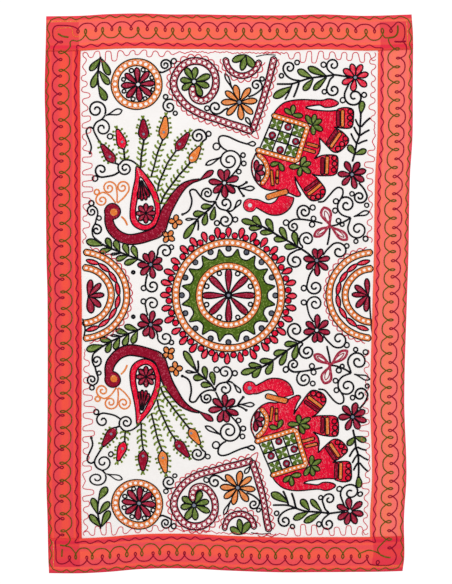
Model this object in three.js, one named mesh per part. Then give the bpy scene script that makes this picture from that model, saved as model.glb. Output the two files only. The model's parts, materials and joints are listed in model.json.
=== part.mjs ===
// An embroidered wall tapestry: a cream cotton ground, four red border strips sewn on its face,
// and round mirrors held by the stitching. It hangs by its top edge.
// Millimetres, +Z up. The front faces -Y, the wall behind is the plane y = 0,
// and the origin is the middle of the top edge, at the back.
import * as THREE from "three";

// Driving sizes
const CLOTH_WIDTH = 986;
const CLOTH_HEIGHT = 1500;
const STRIP_WIDTH = 94;
const GROUND_THICKNESS = 1.2;
const STRIP_THICKNESS = 0.8;
const HEM_THICKNESS = 1.4;
const HEM_WIDTH = 9;
const HEM_STEP = 2;
const LAYER_GAP = 0.3;
const GROUND_INSET = 1.5;
const CELL = 50;
const HALF_WIDTH = CLOTH_WIDTH / 2;
const FLAT_TOP = 50;
const FREE_FROM = 420;

// Mirror sizes
const MIRROR_THICKNESS = 1;
const MIRROR_GAP = 0.6;
const MIRROR_SIDES = 16;

// How far each side edge stands out from the plain rectangle, at a distance down from the top
const SIDE_EDGES = [
  { down: 0, left: 0, right: 0 },
  { down: 60, left: 1, right: 4 },
  { down: 200, left: 4, right: 3 },
  { down: 330, left: 1, right: 2 },
  { down: 440, left: 1, right: -5 },
  { down: 650, left: -1, right: -9 },
  { down: 765, left: -4, right: -13 },
  { down: 1035, left: -4, right: -20 },
  { down: 1200, left: -2, right: -15 },
  { down: 1260, left: -1, right: -15 },
  { down: 1360, left: -4, right: -21 },
  { down: 1460, left: -6, right: -20 },
  { down: 1500, left: -8, right: -25 },
];

// How far the top and bottom edges rise above the plain rectangle, at a place across the cloth
const END_EDGES = [
  { across: -493, top: -4, bottom: -6 },
  { across: -400, top: -2.5, bottom: -6 },
  { across: -330, top: 2, bottom: -3 },
  { across: -240, top: 4, bottom: 4.5 },
  { across: -160, top: 1.5, bottom: 6.5 },
  { across: -80, top: 1.5, bottom: 5 },
  { across: 0, top: 0, bottom: 1 },
  { across: 160, top: -1, bottom: -4 },
  { across: 250, top: 1.5, bottom: -3.5 },
  { across: 370, top: -2.5, bottom: -3 },
  { across: 493, top: 1, bottom: 0 },
];

// Long soft folds that run down the cloth, leaning sideways by so much from top to bottom
const FOLDS = [
  { at: -455, half: 80, rise: 7, lean: 18 },
  { at: -215, half: 120, rise: 4, lean: -40 },
  { at: 40, half: 150, rise: 5.5, lean: 35 },
  { at: 300, half: 95, rise: 4, lean: -30 },
  { at: 470, half: 75, rise: 8, lean: -14 },
];

// Short ripples that come in from a side edge
const RIPPLES = [
  { side: -1, down: 190, half: 110, reach: 150, rise: 3.5 },
  { side: -1, down: 820, half: 120, reach: 130, rise: 3 },
  { side: -1, down: 1250, half: 100, reach: 160, rise: 4 },
  { side: 1, down: 230, half: 120, reach: 140, rise: 3 },
  { side: 1, down: 700, half: 140, reach: 120, rise: 2.5 },
  { side: 1, down: 1210, half: 110, reach: 170, rise: 5 },
];

// The pattern is measured on the hanging cloth, right of and above the medallion's middle.
// Its lower half is the upper half turned over, with small shifts of its own.
const PATTERN_MIDDLE = { across: -1, down: 757 };
const RING_MIRRORS = { count: 16, radius: 126, diameter: 10 };
const CENTRE_MIRROR = { name: "mirror_medallion_middle", right: 0, up: 0, diameter: 8 };
const HALF_MIRRORS = [
  { name: "rosette", right: -244, up: 569, diameter: 9 },
  { name: "green_flower", right: -93, up: 577, diameter: 9 },
  { name: "orange_flower", right: 29, up: 521, diameter: 9 },
  { name: "middle_flower", right: -11, up: 303, diameter: 8 },
  { name: "left_flower", right: -210, up: 83, diameter: 8 },
  { name: "right_flower", right: 238, up: 94, diameter: 8 },
  { name: "corner_flower", right: 342, up: 588, diameter: 8 },
  { name: "edge_flower", right: 333, up: 326, diameter: 8 },
  { name: "trunk", right: 58, up: 243, diameter: 11 },
  { name: "feather_1", right: -320, up: 374, diameter: 7 },
  { name: "feather_2", right: -287, up: 414, diameter: 7 },
  { name: "feather_3", right: -229, up: 435, diameter: 7 },
  { name: "feather_4", right: -175, up: 440, diameter: 7 },
  { name: "feather_5", right: -132, up: 408, diameter: 7 },
  { name: "feather_6", right: -100, up: 371, diameter: 7 },
  { name: "blanket_1", right: 161, up: 454, diameter: 7 },
  { name: "blanket_2", right: 118, up: 432, diameter: 7 },
  { name: "blanket_3", right: 181, up: 415, diameter: 7 },
  { name: "blanket_4", right: 139, up: 393, diameter: 7 },
];

// Where the lower half's pattern lies off the turned-over upper half, near a place
const LOWER_SHIFTS = [
  { right: -246, up: 569, shiftRight: 3, shiftUp: -8 },
  { right: -93, up: 577, shiftRight: 0, shiftUp: -11 },
  { right: 29, up: 521, shiftRight: -5, shiftUp: -3 },
  { right: 75, up: 433, shiftRight: -1, shiftUp: 4 },
  { right: 115, up: 645, shiftRight: -14, shiftUp: -6 },
  { right: 342, up: 588, shiftRight: -16, shiftUp: -7 },
  { right: 337, up: 479, shiftRight: -5, shiftUp: -3 },
  { right: 334, up: 326, shiftRight: 2, shiftUp: 2 },
  { right: 238, up: 94, shiftRight: 0, shiftUp: 0 },
  { right: -210, up: 83, shiftRight: 0, shiftUp: -4 },
  { right: -11, up: 303, shiftRight: -1, shiftUp: 2 },
  { right: 58, up: 243, shiftRight: -1, shiftUp: 8 },
  { right: 150, up: 424, shiftRight: -5, shiftUp: -1 },
  { right: -229, up: 435, shiftRight: -2, shiftUp: -2 },
  { right: -320, up: 374, shiftRight: 4, shiftUp: 0 },
  { right: -345, up: 620, shiftRight: 0, shiftUp: -16 },
];
const SHIFT_REACH = 70;
const SHIFT_FLOOR = 0.05;

const COLOURS = {
  cream: 0xf6f1eb,
  coral: 0xee5a52,
  mirror: 0xc9d2dc,
};

// A column of a table at any place, on a smooth curve through its rows
function readTable(rows, key, column, place) {
  const last = rows.length - 1;
  const at = THREE.MathUtils.clamp(place, rows[0][key], rows[last][key]);
  let row = 0;
  while (row < last - 1 && at > rows[row + 1][key]) {
    row += 1;
  }
  const slope = (index) => {
    const before = rows[Math.max(index - 1, 0)];
    const after = rows[Math.min(index + 1, last)];
    return (after[column] - before[column]) / (after[key] - before[key]);
  };
  const span = rows[row + 1][key] - rows[row][key];
  const t = (at - rows[row][key]) / span;
  const ease = t * t * (3 - 2 * t);
  return (
    rows[row][column] * (1 - ease) +
    rows[row + 1][column] * ease +
    span * (t * (1 - t) * (1 - t) * slope(row) - t * t * (1 - t) * slope(row + 1))
  );
}

// How far the ground's back stands forward of the wall, at a place on the flat cloth
function forward(across, down) {
  const free = THREE.MathUtils.smoothstep(down, FLAT_TOP, FREE_FROM);
  let sum = 0;
  for (const fold of FOLDS) {
    const middle = fold.at + (fold.lean * down) / CLOTH_HEIGHT;
    sum += fold.rise * Math.exp(-(((across - middle) / fold.half) ** 2));
  }
  for (const ripple of RIPPLES) {
    const inwards = HALF_WIDTH - ripple.side * across;
    sum +=
      ripple.rise *
      Math.exp(-((inwards / ripple.reach) ** 2) - ((down - ripple.down) / ripple.half) ** 2);
  }
  return free * sum;
}

// A place on the flat cloth, and so far in front of the ground's back, as it hangs
function hang(across, down, lift) {
  const share = (across + HALF_WIDTH) / CLOTH_WIDTH;
  const drop = down / CLOTH_HEIGHT;
  const left = readTable(SIDE_EDGES, "down", "left", down);
  const right = readTable(SIDE_EDGES, "down", "right", down);
  const top = readTable(END_EDGES, "across", "top", across);
  const bottom = readTable(END_EDGES, "across", "bottom", across);
  return new THREE.Vector3(
    across - left * (1 - share) + right * share,
    -forward(across, down) - lift,
    -down + top * (1 - drop) + bottom * drop,
  );
}

// The place on the flat cloth that hangs at so far across and down, seen from the front
function flatPlace(wantAcross, wantDown) {
  let across = wantAcross;
  let down = wantDown;
  for (let round = 0; round < 4; round += 1) {
    const hung = hang(across, down, 0);
    across += wantAcross - hung.x;
    down += wantDown + hung.z;
  }
  return { across, down };
}

// The place in the lower half that answers to one in the upper half
function lowerPlace(right, up) {
  let total = SHIFT_FLOOR;
  let sumRight = 0;
  let sumUp = 0;
  for (const row of LOWER_SHIFTS) {
    const distance = Math.hypot(right - row.right, up - row.up);
    const weight = Math.exp(-((distance / SHIFT_REACH) ** 2));
    total += weight;
    sumRight += weight * row.shiftRight;
    sumUp += weight * row.shiftUp;
  }
  return { right: right + sumRight / total, up: -(up + sumUp / total) };
}

// Places across a strip: its edges, its turned hems and its middle
function stripStations(from, width) {
  return [
    from,
    from + HEM_WIDTH,
    from + HEM_WIDTH + HEM_STEP,
    from + width / 2,
    from + width - HEM_WIDTH - HEM_STEP,
    from + width - HEM_WIDTH,
    from + width,
  ];
}

// Places along a whole side of the cloth: two strips, and cells between them
function sideStations(from, length) {
  const inner = from + STRIP_WIDTH;
  const open = length - 2 * STRIP_WIDTH;
  const cells = Math.round(open / CELL);
  const between = Array.from({ length: cells - 1 }, (_, i) => inner + (open * (i + 1)) / cells);
  return [
    ...stripStations(from, STRIP_WIDTH),
    ...between,
    ...stripStations(from + length - STRIP_WIDTH, STRIP_WIDTH),
  ];
}

// A closed sheet over a grid of places, between its back and its front
function sheetGeometry(acrossStations, downStations, backLift, frontLift) {
  const columns = acrossStations.length;
  const rows = downStations.length;
  const layer = columns * rows;
  const positions = [];
  for (const lift of [backLift, frontLift]) {
    for (const down of downStations) {
      for (const across of acrossStations) {
        positions.push(...hang(across, down, lift(across, down)).toArray());
      }
    }
  }
  const index = [];
  const quad = (a, b, c, d) => index.push(a, b, c, a, c, d);
  for (let row = 0; row < rows - 1; row += 1) {
    for (let column = 0; column < columns - 1; column += 1) {
      const a = row * columns + column;
      const b = a + columns;
      index.push(a, b + 1, b, a, a + 1, b + 1);
      index.push(layer + a, layer + b, layer + b + 1, layer + a, layer + b + 1, layer + a + 1);
    }
  }
  for (let column = 0; column < columns - 1; column += 1) {
    const low = (rows - 1) * columns + column;
    quad(column + 1, column, layer + column, layer + column + 1);
    quad(low, low + 1, layer + low + 1, layer + low);
  }
  for (let row = 0; row < rows - 1; row += 1) {
    const a = row * columns;
    const b = a + columns - 1;
    quad(a, a + columns, layer + a + columns, layer + a);
    quad(b + columns, b, layer + b, layer + b + columns);
  }
  const geometry = new THREE.BufferGeometry();
  geometry.setAttribute("position", new THREE.Float32BufferAttribute(positions, 3));
  geometry.setIndex(index);
  geometry.computeVertexNormals();
  return geometry;
}

// A strip is thicker along both long edges, where its hem is turned under
function stripThickness(fromEdge) {
  const nearest = Math.min(fromEdge, STRIP_WIDTH - fromEdge);
  return nearest <= HEM_WIDTH + 0.01 ? HEM_THICKNESS : STRIP_THICKNESS;
}

const FIRST_LAYER = GROUND_THICKNESS + LAYER_GAP;

function makeGround(material) {
  const inset = (stations) => [
    stations[0] + GROUND_INSET,
    ...stations.slice(1, -1),
    stations[stations.length - 1] - GROUND_INSET,
  ];
  const geometry = sheetGeometry(
    inset(sideStations(-HALF_WIDTH, CLOTH_WIDTH)),
    inset(sideStations(0, CLOTH_HEIGHT)),
    () => 0,
    () => GROUND_THICKNESS,
  );
  const mesh = new THREE.Mesh(geometry, material);
  mesh.name = "ground_cloth";
  return mesh;
}

// The side strips run the whole height, next to the ground
function makeSideStrip(name, from, material) {
  const geometry = sheetGeometry(
    stripStations(from, STRIP_WIDTH),
    sideStations(0, CLOTH_HEIGHT),
    () => FIRST_LAYER,
    (across) => FIRST_LAYER + stripThickness(across - from),
  );
  const mesh = new THREE.Mesh(geometry, material);
  mesh.name = name;
  return mesh;
}

// The top and bottom strips run the whole width, and step up over the ends of the side strips
function makeEndStrip(name, from, material) {
  const overSides = (across) => {
    const inwards = HALF_WIDTH - Math.abs(across);
    const free = THREE.MathUtils.smoothstep(inwards, STRIP_WIDTH, STRIP_WIDTH + CELL);
    return FIRST_LAYER + (1 - free) * (HEM_THICKNESS + LAYER_GAP);
  };
  const geometry = sheetGeometry(
    sideStations(-HALF_WIDTH, CLOTH_WIDTH),
    stripStations(from, STRIP_WIDTH),
    overSides,
    (across, down) => overSides(across) + stripThickness(down - from),
  );
  const mesh = new THREE.Mesh(geometry, material);
  mesh.name = name;
  return mesh;
}

// A round mirror lies on the ground's face, square to it
function makeMirror(name, right, up, diameter, material) {
  const { across, down } = flatPlace(PATTERN_MIDDLE.across + right, PATTERN_MIDDLE.down - up);
  const lift = GROUND_THICKNESS + MIRROR_GAP;
  const foot = hang(across, down, lift);
  const alongAcross = hang(across + 1, down, lift).sub(foot);
  const alongUp = hang(across, down - 1, lift).sub(foot);
  const outwards = alongAcross.cross(alongUp).normalize();
  const radius = diameter / 2;
  const geometry = new THREE.CylinderGeometry(radius, radius, MIRROR_THICKNESS, MIRROR_SIDES);
  const mesh = new THREE.Mesh(geometry, material);
  mesh.name = name;
  mesh.quaternion.setFromUnitVectors(new THREE.Vector3(0, 1, 0), outwards);
  mesh.position.copy(foot).addScaledVector(outwards, MIRROR_THICKNESS / 2);
  return mesh;
}

function makeMirrors(material) {
  const mirrors = [];
  const add = ({ name, right, up, diameter }) =>
    mirrors.push(makeMirror(name, right, up, diameter, material));
  add(CENTRE_MIRROR);
  for (let i = 0; i < RING_MIRRORS.count; i += 1) {
    const turn = (2 * Math.PI * i) / RING_MIRRORS.count;
    add({
      name: "mirror_ring_" + String(i + 1).padStart(2, "0"),
      right: RING_MIRRORS.radius * Math.sin(turn),
      up: RING_MIRRORS.radius * Math.cos(turn),
      diameter: RING_MIRRORS.diameter,
    });
  }
  for (const mirror of HALF_MIRRORS) {
    add({ ...mirror, name: "mirror_upper_" + mirror.name });
    add({
      ...mirror,
      ...lowerPlace(mirror.right, mirror.up),
      name: "mirror_lower_" + mirror.name,
    });
  }
  return mirrors;
}

const ground = new THREE.MeshStandardMaterial({ color: COLOURS.cream, roughness: 0.95 });
const border = new THREE.MeshStandardMaterial({ color: COLOURS.coral, roughness: 0.9 });
const glass = new THREE.MeshStandardMaterial({
  color: COLOURS.mirror,
  roughness: 0.08,
  metalness: 1,
});

const tapestry = new THREE.Group();
tapestry.add(
  makeGround(ground),
  makeSideStrip("border_left", -HALF_WIDTH, border),
  makeSideStrip("border_right", HALF_WIDTH - STRIP_WIDTH, border),
  makeEndStrip("border_top", 0, border),
  makeEndStrip("border_bottom", CLOTH_HEIGHT - STRIP_WIDTH, border),
  ...makeMirrors(glass),
);

export default tapestry;
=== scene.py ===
"""An embroidered wall tapestry: cream cotton, a red sewn border, chain-stitch embroidery and small mirrors.

Places on the flat cloth are in millimetres: right of and above the middle of the pattern. The Cloth class
lays them on the cloth as it hangs. Finished meshes are in metres, in the frame's own axes. The points of
the long outlines, such as the animals' and the stems', were read from the photograph.
"""

from __future__ import annotations

import itertools
import json
import logging
import math
from collections.abc import Callable, Sequence
from dataclasses import dataclass, field
from enum import Enum

import bmesh
import bpy
import numpy as np
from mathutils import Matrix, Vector

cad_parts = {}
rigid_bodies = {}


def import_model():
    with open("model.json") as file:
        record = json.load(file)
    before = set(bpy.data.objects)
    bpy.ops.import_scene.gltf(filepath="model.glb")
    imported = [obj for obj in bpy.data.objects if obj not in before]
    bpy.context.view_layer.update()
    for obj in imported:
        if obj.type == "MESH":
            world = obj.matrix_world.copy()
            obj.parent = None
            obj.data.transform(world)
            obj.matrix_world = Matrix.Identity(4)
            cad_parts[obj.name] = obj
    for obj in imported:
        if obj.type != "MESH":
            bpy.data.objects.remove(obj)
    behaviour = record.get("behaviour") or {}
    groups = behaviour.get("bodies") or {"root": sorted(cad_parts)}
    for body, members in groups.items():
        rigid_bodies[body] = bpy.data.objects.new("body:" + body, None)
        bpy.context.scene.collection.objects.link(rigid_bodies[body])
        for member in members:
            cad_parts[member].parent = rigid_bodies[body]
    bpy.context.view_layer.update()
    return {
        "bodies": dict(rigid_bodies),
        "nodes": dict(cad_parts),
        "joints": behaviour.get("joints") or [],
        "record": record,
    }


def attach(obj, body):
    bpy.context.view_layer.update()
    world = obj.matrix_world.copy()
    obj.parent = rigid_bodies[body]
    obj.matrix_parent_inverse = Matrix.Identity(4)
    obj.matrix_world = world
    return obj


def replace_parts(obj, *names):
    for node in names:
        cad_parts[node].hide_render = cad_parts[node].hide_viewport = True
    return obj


LOG = logging.getLogger("tapestry")
MM = 0.001
BODY = "root"
Points = np.ndarray
Place = tuple[float, float]
Places = Sequence[Place]


# Sizes shared by the whole cloth


@dataclass(frozen=True)
class ClothSizes:
    """Sizes of the cloth and its layers, in millimetres, the same as the frame's solids have."""

    width: float = 986.0
    height: float = 1500.0
    strip: float = 94.0
    ground: float = 1.2
    strip_cloth: float = 0.8
    hem_cloth: float = 1.4
    hem: float = 9.0
    hem_step: float = 2.0
    gap: float = 0.3
    inset: float = 1.5
    cell: float = 50.0
    flat_top: float = 50.0
    free_from: float = 420.0
    fine: float = 9.0
    middle_across: float = -1.0
    middle_down: float = 757.0

    @property
    def half(self) -> float:
        """Half the width."""
        return self.width / 2

    @property
    def first_layer(self) -> float:
        """How far in front of the ground's back a border strip's back lies."""
        return self.ground + self.gap


@dataclass(frozen=True)
class Fold:
    """A long soft fold that runs down the cloth."""

    at: float
    half: float
    rise: float
    lean: float


@dataclass(frozen=True)
class Ripple:
    """A short ripple that comes in from a side edge."""

    side: int
    down: float
    half: float
    reach: float
    rise: float


# Distance down, then how far the left and the right edge stand out from a plain rectangle
SIDE_EDGES = np.array([
    (0, 0, 0), (60, 1, 4), (200, 4, 3), (330, 1, 2), (440, 1, -5), (650, -1, -9), (765, -4, -13),
    (1035, -4, -20), (1200, -2, -15), (1260, -1, -15), (1360, -4, -21), (1460, -6, -20), (1500, -8, -25),
], float)
# Place across, then how far the top and the bottom edge rise above a plain rectangle
END_EDGES = np.array([
    (-493, -4, -6), (-400, -2.5, -6), (-330, 2, -3), (-240, 4, 4.5), (-160, 1.5, 6.5), (-80, 1.5, 5),
    (0, 0, 1), (160, -1, -4), (250, 1.5, -3.5), (370, -2.5, -3), (493, 1, 0),
], float)
FOLDS = (
    Fold(-455, 80, 7, 18),
    Fold(-215, 120, 4, -40),
    Fold(40, 150, 5.5, 35),
    Fold(300, 95, 4, -30),
    Fold(470, 75, 8, -14),
)
RIPPLES = (
    Ripple(-1, 190, 110, 150, 3.5),
    Ripple(-1, 820, 120, 130, 3),
    Ripple(-1, 1250, 100, 160, 4),
    Ripple(1, 230, 120, 140, 3),
    Ripple(1, 700, 140, 120, 2.5),
    Ripple(1, 1210, 110, 170, 5),
)


# The lower half is the upper half turned over: places right and up, then how far it lies off there
LOWER_SHIFTS = np.array([
    (-246, 569, 3, -8), (-93, 577, 0, -11), (29, 521, -5, -3), (75, 433, -1, 4), (115, 645, -14, -6),
    (342, 588, -16, -7), (337, 479, -5, -3), (334, 326, 2, 2), (238, 94, 0, 0), (-210, 83, 0, -4),
    (-11, 303, -1, 2), (58, 243, -1, 8), (150, 424, -5, -1), (-229, 435, -2, -2), (-320, 374, 4, 0),
    (-345, 620, 0, -16),
], float)
SHIFT_REACH = 70.0
SHIFT_FLOOR = 0.05


def read_table(rows: Points, column: int, places: Points) -> Points:
    """Read a column of a table on a smooth curve through its rows.

    Args:
        rows: The table, its first column the key.
        column: Which column to read.
        places: The keys to read it at.

    Returns:
        The column's values there.
    """
    keys = rows[:, 0]
    values = rows[:, column]
    index = np.arange(len(keys))
    before = np.maximum(index - 1, 0)
    after = np.minimum(index + 1, len(keys) - 1)
    slopes = (values[after] - values[before]) / (keys[after] - keys[before])
    at = np.clip(places, keys[0], keys[-1])
    row = np.clip(np.searchsorted(keys, at) - 1, 0, len(keys) - 2)
    span = keys[row + 1] - keys[row]
    t = (at - keys[row]) / span
    ease = t * t * (3 - 2 * t)
    bend = t * (1 - t) ** 2 * slopes[row] - t * t * (1 - t) * slopes[row + 1]
    return values[row] * (1 - ease) + values[row + 1] * ease + span * bend


def smoothstep(value: Points, low: float, high: float) -> Points:
    """Rise smoothly from 0 at low to 1 at high."""
    t = np.clip((value - low) / (high - low), 0, 1)
    return t * t * (3 - 2 * t)


@dataclass(frozen=True)
class Cloth:
    """The cloth as it hangs: it turns places on the flat cloth into points in the frame."""

    sizes: ClothSizes = field(default_factory=ClothSizes)

    def forward(self, across: Points, down: Points) -> Points:
        """How far the ground's back stands forward of the wall, in millimetres.

        Args:
            across: Places across the cloth, in millimetres from its middle.
            down: Places down it, in millimetres from its top.

        Returns:
            The distances.
        """
        s = self.sizes
        total = np.zeros_like(across)
        for fold in FOLDS:
            middle = fold.at + fold.lean * down / s.height
            total += fold.rise * np.exp(-(((across - middle) / fold.half) ** 2))
        for ripple in RIPPLES:
            inwards = s.half - ripple.side * across
            reach = (inwards / ripple.reach) ** 2 + ((down - ripple.down) / ripple.half) ** 2
            total += ripple.rise * np.exp(-reach)
        return smoothstep(down, s.flat_top, s.free_from) * total

    def hang(self, across: Points, down: Points, lift: Points) -> Points:
        """Hang places on the flat cloth.

        Args:
            across: Millimetres right of the middle.
            down: Millimetres below the top edge.
            lift: Millimetres in front of the ground's back.

        Returns:
            Points in metres, one row each.
        """
        s = self.sizes
        share = (across + s.half) / s.width
        drop = down / s.height
        left = read_table(SIDE_EDGES, 1, down)
        right = read_table(SIDE_EDGES, 2, down)
        top = read_table(END_EDGES, 1, across)
        bottom = read_table(END_EDGES, 2, across)
        x = across - left * (1 - share) + right * share
        y = -self.forward(across, down) - lift
        z = -down + top * (1 - drop) + bottom * drop
        return np.stack([x, y, z], axis=-1) * MM

    def from_pattern(self, plan: Points) -> tuple[Points, Points]:
        """Turn places in the pattern into millimetres across and down the cloth."""
        return self.sizes.middle_across + plan[:, 0], self.sizes.middle_down - plan[:, 1]

    def measured(self, plan: Points) -> tuple[Points, Points]:
        """Turn places measured on the hanging cloth into millimetres across and down the flat one.

        Args:
            plan: The places, in the pattern.

        Returns:
            The millimetres across and down.
        """
        want_across, want_down = self.from_pattern(plan)
        across, down = want_across.copy(), want_down.copy()
        for _ in range(4):
            hung = self.hang(across, down, np.zeros_like(across)) / MM
            across += want_across - hung[:, 0]
            down += want_down + hung[:, 2]
        return across, down

    def lower_half(self, plan: Points) -> Points:
        """Turn places in the upper half into the ones that answer to them in the lower half.

        Args:
            plan: Places in the upper half.

        Returns:
            The places in the lower half.
        """
        gaps = plan[:, None, :] - LOWER_SHIFTS[None, :, :2]
        weight = np.exp(-(gaps**2).sum(axis=2) / SHIFT_REACH**2)
        total = weight.sum(axis=1, keepdims=True) + SHIFT_FLOOR
        return (plan + weight @ LOWER_SHIFTS[:, 2:] / total) * (1, -1)

    def strip_thickness(self, from_edge: Points) -> Points:
        """A strip is thicker along both long edges, where its hem is turned under.

        Args:
            from_edge: Distances in from the strip's outer edge.

        Returns:
            The thicknesses.
        """
        s = self.sizes
        nearest = np.minimum(from_edge, s.strip - from_edge)
        share = np.clip((nearest - s.hem) / s.hem_step, 0, 1)
        return s.hem_cloth * (1 - share) + s.strip_cloth * share

    def over_sides(self, across: Points) -> Points:
        """The lift of an end strip's back, which steps up over the side strips.

        Args:
            across: Places across the cloth, in millimetres from its middle.

        Returns:
            The lifts.
        """
        s = self.sizes
        free = smoothstep(s.half - np.abs(across), s.strip, s.strip + s.cell)
        return s.first_layer + (1 - free) * (s.hem_cloth + s.gap)

    def strip_front(self, across: Points, down: Points) -> Points:
        """The lift of the border's front, on whichever strip is uppermost.

        Args:
            across: Places across the cloth, in millimetres from its middle.
            down: Places down it, in millimetres from its top.

        Returns:
            The lifts.
        """
        s = self.sizes
        from_side = s.half - np.abs(across)
        from_end = np.minimum(down, s.height - down)
        side = s.first_layer + self.strip_thickness(np.clip(from_side, 0, s.strip))
        end = self.over_sides(across) + self.strip_thickness(np.clip(from_end, 0, s.strip))
        return np.where(from_end <= s.strip, end, side)

    def ground_back(self, across: Points, down: Points) -> Points:
        """The lift of the ground's back."""
        return np.zeros_like(across)

    def ground_front(self, across: Points, down: Points) -> Points:
        """The lift of the ground's front."""
        return np.full_like(across, self.sizes.ground)


# Colour and node helpers


def linear(colour: str) -> tuple[float, float, float, float]:
    """Turn an sRGB hex colour into linear values.

    Args:
        colour: Six hex digits.

    Returns:
        Red, green, blue and an alpha of 1, linear.
    """
    parts = [int(colour[i:i + 2], 16) / 255 for i in (0, 2, 4)]
    red, green, blue = (c / 12.92 if c <= 0.04045 else ((c + 0.055) / 1.055) ** 2.4 for c in parts)
    return (red, green, blue, 1.0)


def add(tree: bpy.types.NodeTree, kind: str, settings: dict | None = None, **links: object) -> bpy.types.Node:
    """Add a node with its settings, input values and links.

    Args:
        tree: The material's node tree.
        kind: The node's type name, without its Shader prefix.
        settings: The node's own properties.
        **links: Input name, underscores for spaces, or i and a number, to a value, a node or a socket.

    Returns:
        The new node.
    """
    node = tree.nodes.new("ShaderNode" + kind)
    for name, value in (settings or {}).items():
        setattr(node, name, value)
    for name, value in links.items():
        numbered = name[0] == "i" and name[1:].isdigit()
        socket = node.inputs[int(name[1:])] if numbered else node.inputs[name.replace("_", " ")]
        if isinstance(value, bpy.types.Node):
            tree.links.new(value.outputs[0], socket)
        elif isinstance(value, bpy.types.NodeSocket):
            tree.links.new(value, socket)
        else:
            socket.default_value = value
    return node


def new_material(name: str) -> tuple[bpy.types.Material, bpy.types.NodeTree, bpy.types.Node]:
    """Start a material with one Principled shader.

    Args:
        name: The material's name.

    Returns:
        The material, its node tree and its shader.
    """
    material = bpy.data.materials.new(name)
    material.use_nodes = True
    tree = material.node_tree
    tree.nodes.clear()
    shader = add(tree, "BsdfPrincipled")
    add(tree, "OutputMaterial", Surface=shader)
    return material, tree, shader


def ramp(tree: bpy.types.NodeTree, factor: object, stops: Sequence[tuple[float, str]]) -> bpy.types.Node:
    """Add a colour ramp.

    Args:
        tree: The material's node tree.
        factor: What drives it.
        stops: Places from 0 to 1 with their hex colours.

    Returns:
        The ramp node.
    """
    node = add(tree, "ValToRGB", Fac=factor)
    elements = node.color_ramp.elements
    while len(elements) < len(stops):
        elements.new(0.5)
    for element, (place, colour) in zip(elements, stops):
        element.position = place
        element.color = linear(colour)
    return node


def math_node(tree: bpy.types.NodeTree, operation: str, *values: object) -> bpy.types.Node:
    """Add a Math node that works on values, nodes or sockets."""
    return add(tree, "Math", {"operation": operation}, **{f"i{i}": v for i, v in enumerate(values)})


@dataclass(frozen=True)
class Surface:
    """What every finish sets: its relief, and the shader's constants."""

    strength: float
    depth_mm: float
    roughness: float
    specular: float = 0.5

    def dress(self, tree: bpy.types.NodeTree, shader: bpy.types.Node, colour: object, height: object) -> None:
        """Give a shader its colour, relief and constants.

        Args:
            tree: The material's node tree.
            shader: Its shader.
            colour: The socket that gives the colour.
            height: What gives the relief's height.
        """
        bump = add(tree, "Bump", Height=height, Strength=self.strength, Distance=self.depth_mm * MM)
        tree.links.new(colour, shader.inputs["Base Color"])
        tree.links.new(bump.outputs[0], shader.inputs["Normal"])
        shader.inputs["Roughness"].default_value = self.roughness
        shader.inputs["Specular IOR Level"].default_value = self.specular


def new_object(name: str, data: bpy.types.ID) -> bpy.types.Object:
    """Put a new object in the scene.

    Args:
        name: Its name.
        data: Its mesh, lamp or camera.

    Returns:
        The object.
    """
    made = bpy.data.objects.new(name, data)
    bpy.context.scene.collection.objects.link(made)
    return made


# Finishes


@dataclass(frozen=True)
class GroundCotton:
    """Plain-woven cream cotton, washed: matt, with a faint grid of threads and soft uneven shade."""

    name: str = "cream_plain_weave_cotton"
    light: str = "FDFAF8"
    shade: str = "F6F1EE"
    thread_mm: float = 1.6
    surface: Surface = Surface(0.5, 0.12, 0.92, 0.2)

    def make(self) -> bpy.types.Material:
        """Build the material. The weave is drawn at 1.6 mm, coarser than real, so that it shows.

        Returns:
            The material.
        """
        material, tree, shader = new_material(self.name)
        uv = add(tree, "UVMap", {"uv_map": "Cloth"})
        mottle = add(tree, "TexNoise", Vector=uv.outputs[0], Scale=9.0, Detail=6.0, Roughness=0.6)
        slubs = add(tree, "Mapping", Vector=uv.outputs[0], Scale=(40.0, 420.0, 1.0))
        slub = add(tree, "TexNoise", Vector=slubs, Scale=1.0, Detail=2.0)
        mixed = math_node(tree, "MULTIPLY_ADD", slub, 0.35, mottle)
        colour = ramp(tree, mixed, [(0.35, self.shade), (0.75, self.light)])
        weave = woven(tree, uv.outputs[0], self.thread_mm)
        self.surface.dress(tree, shader, colour.outputs[0], weave)
        return material


def woven(tree: bpy.types.NodeTree, place: object, pitch_mm: float) -> bpy.types.Node:
    """Add a plain weave, one thread up and one down, from 0 to 1.

    Args:
        tree: The material's node tree.
        place: The socket that gives the place on the cloth, in metres.
        pitch_mm: The distance between threads.

    Returns:
        The node that gives the height.
    """
    parts = add(tree, "SeparateXYZ", Vector=place)
    turn = math.pi / (pitch_mm * MM)
    across = math_node(tree, "SINE", math_node(tree, "MULTIPLY", parts.outputs[0], turn))
    along = math_node(tree, "SINE", math_node(tree, "MULTIPLY", parts.outputs[1], turn))
    return math_node(tree, "MULTIPLY_ADD", math_node(tree, "MULTIPLY", across, along), 0.5, 0.5)


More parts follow.
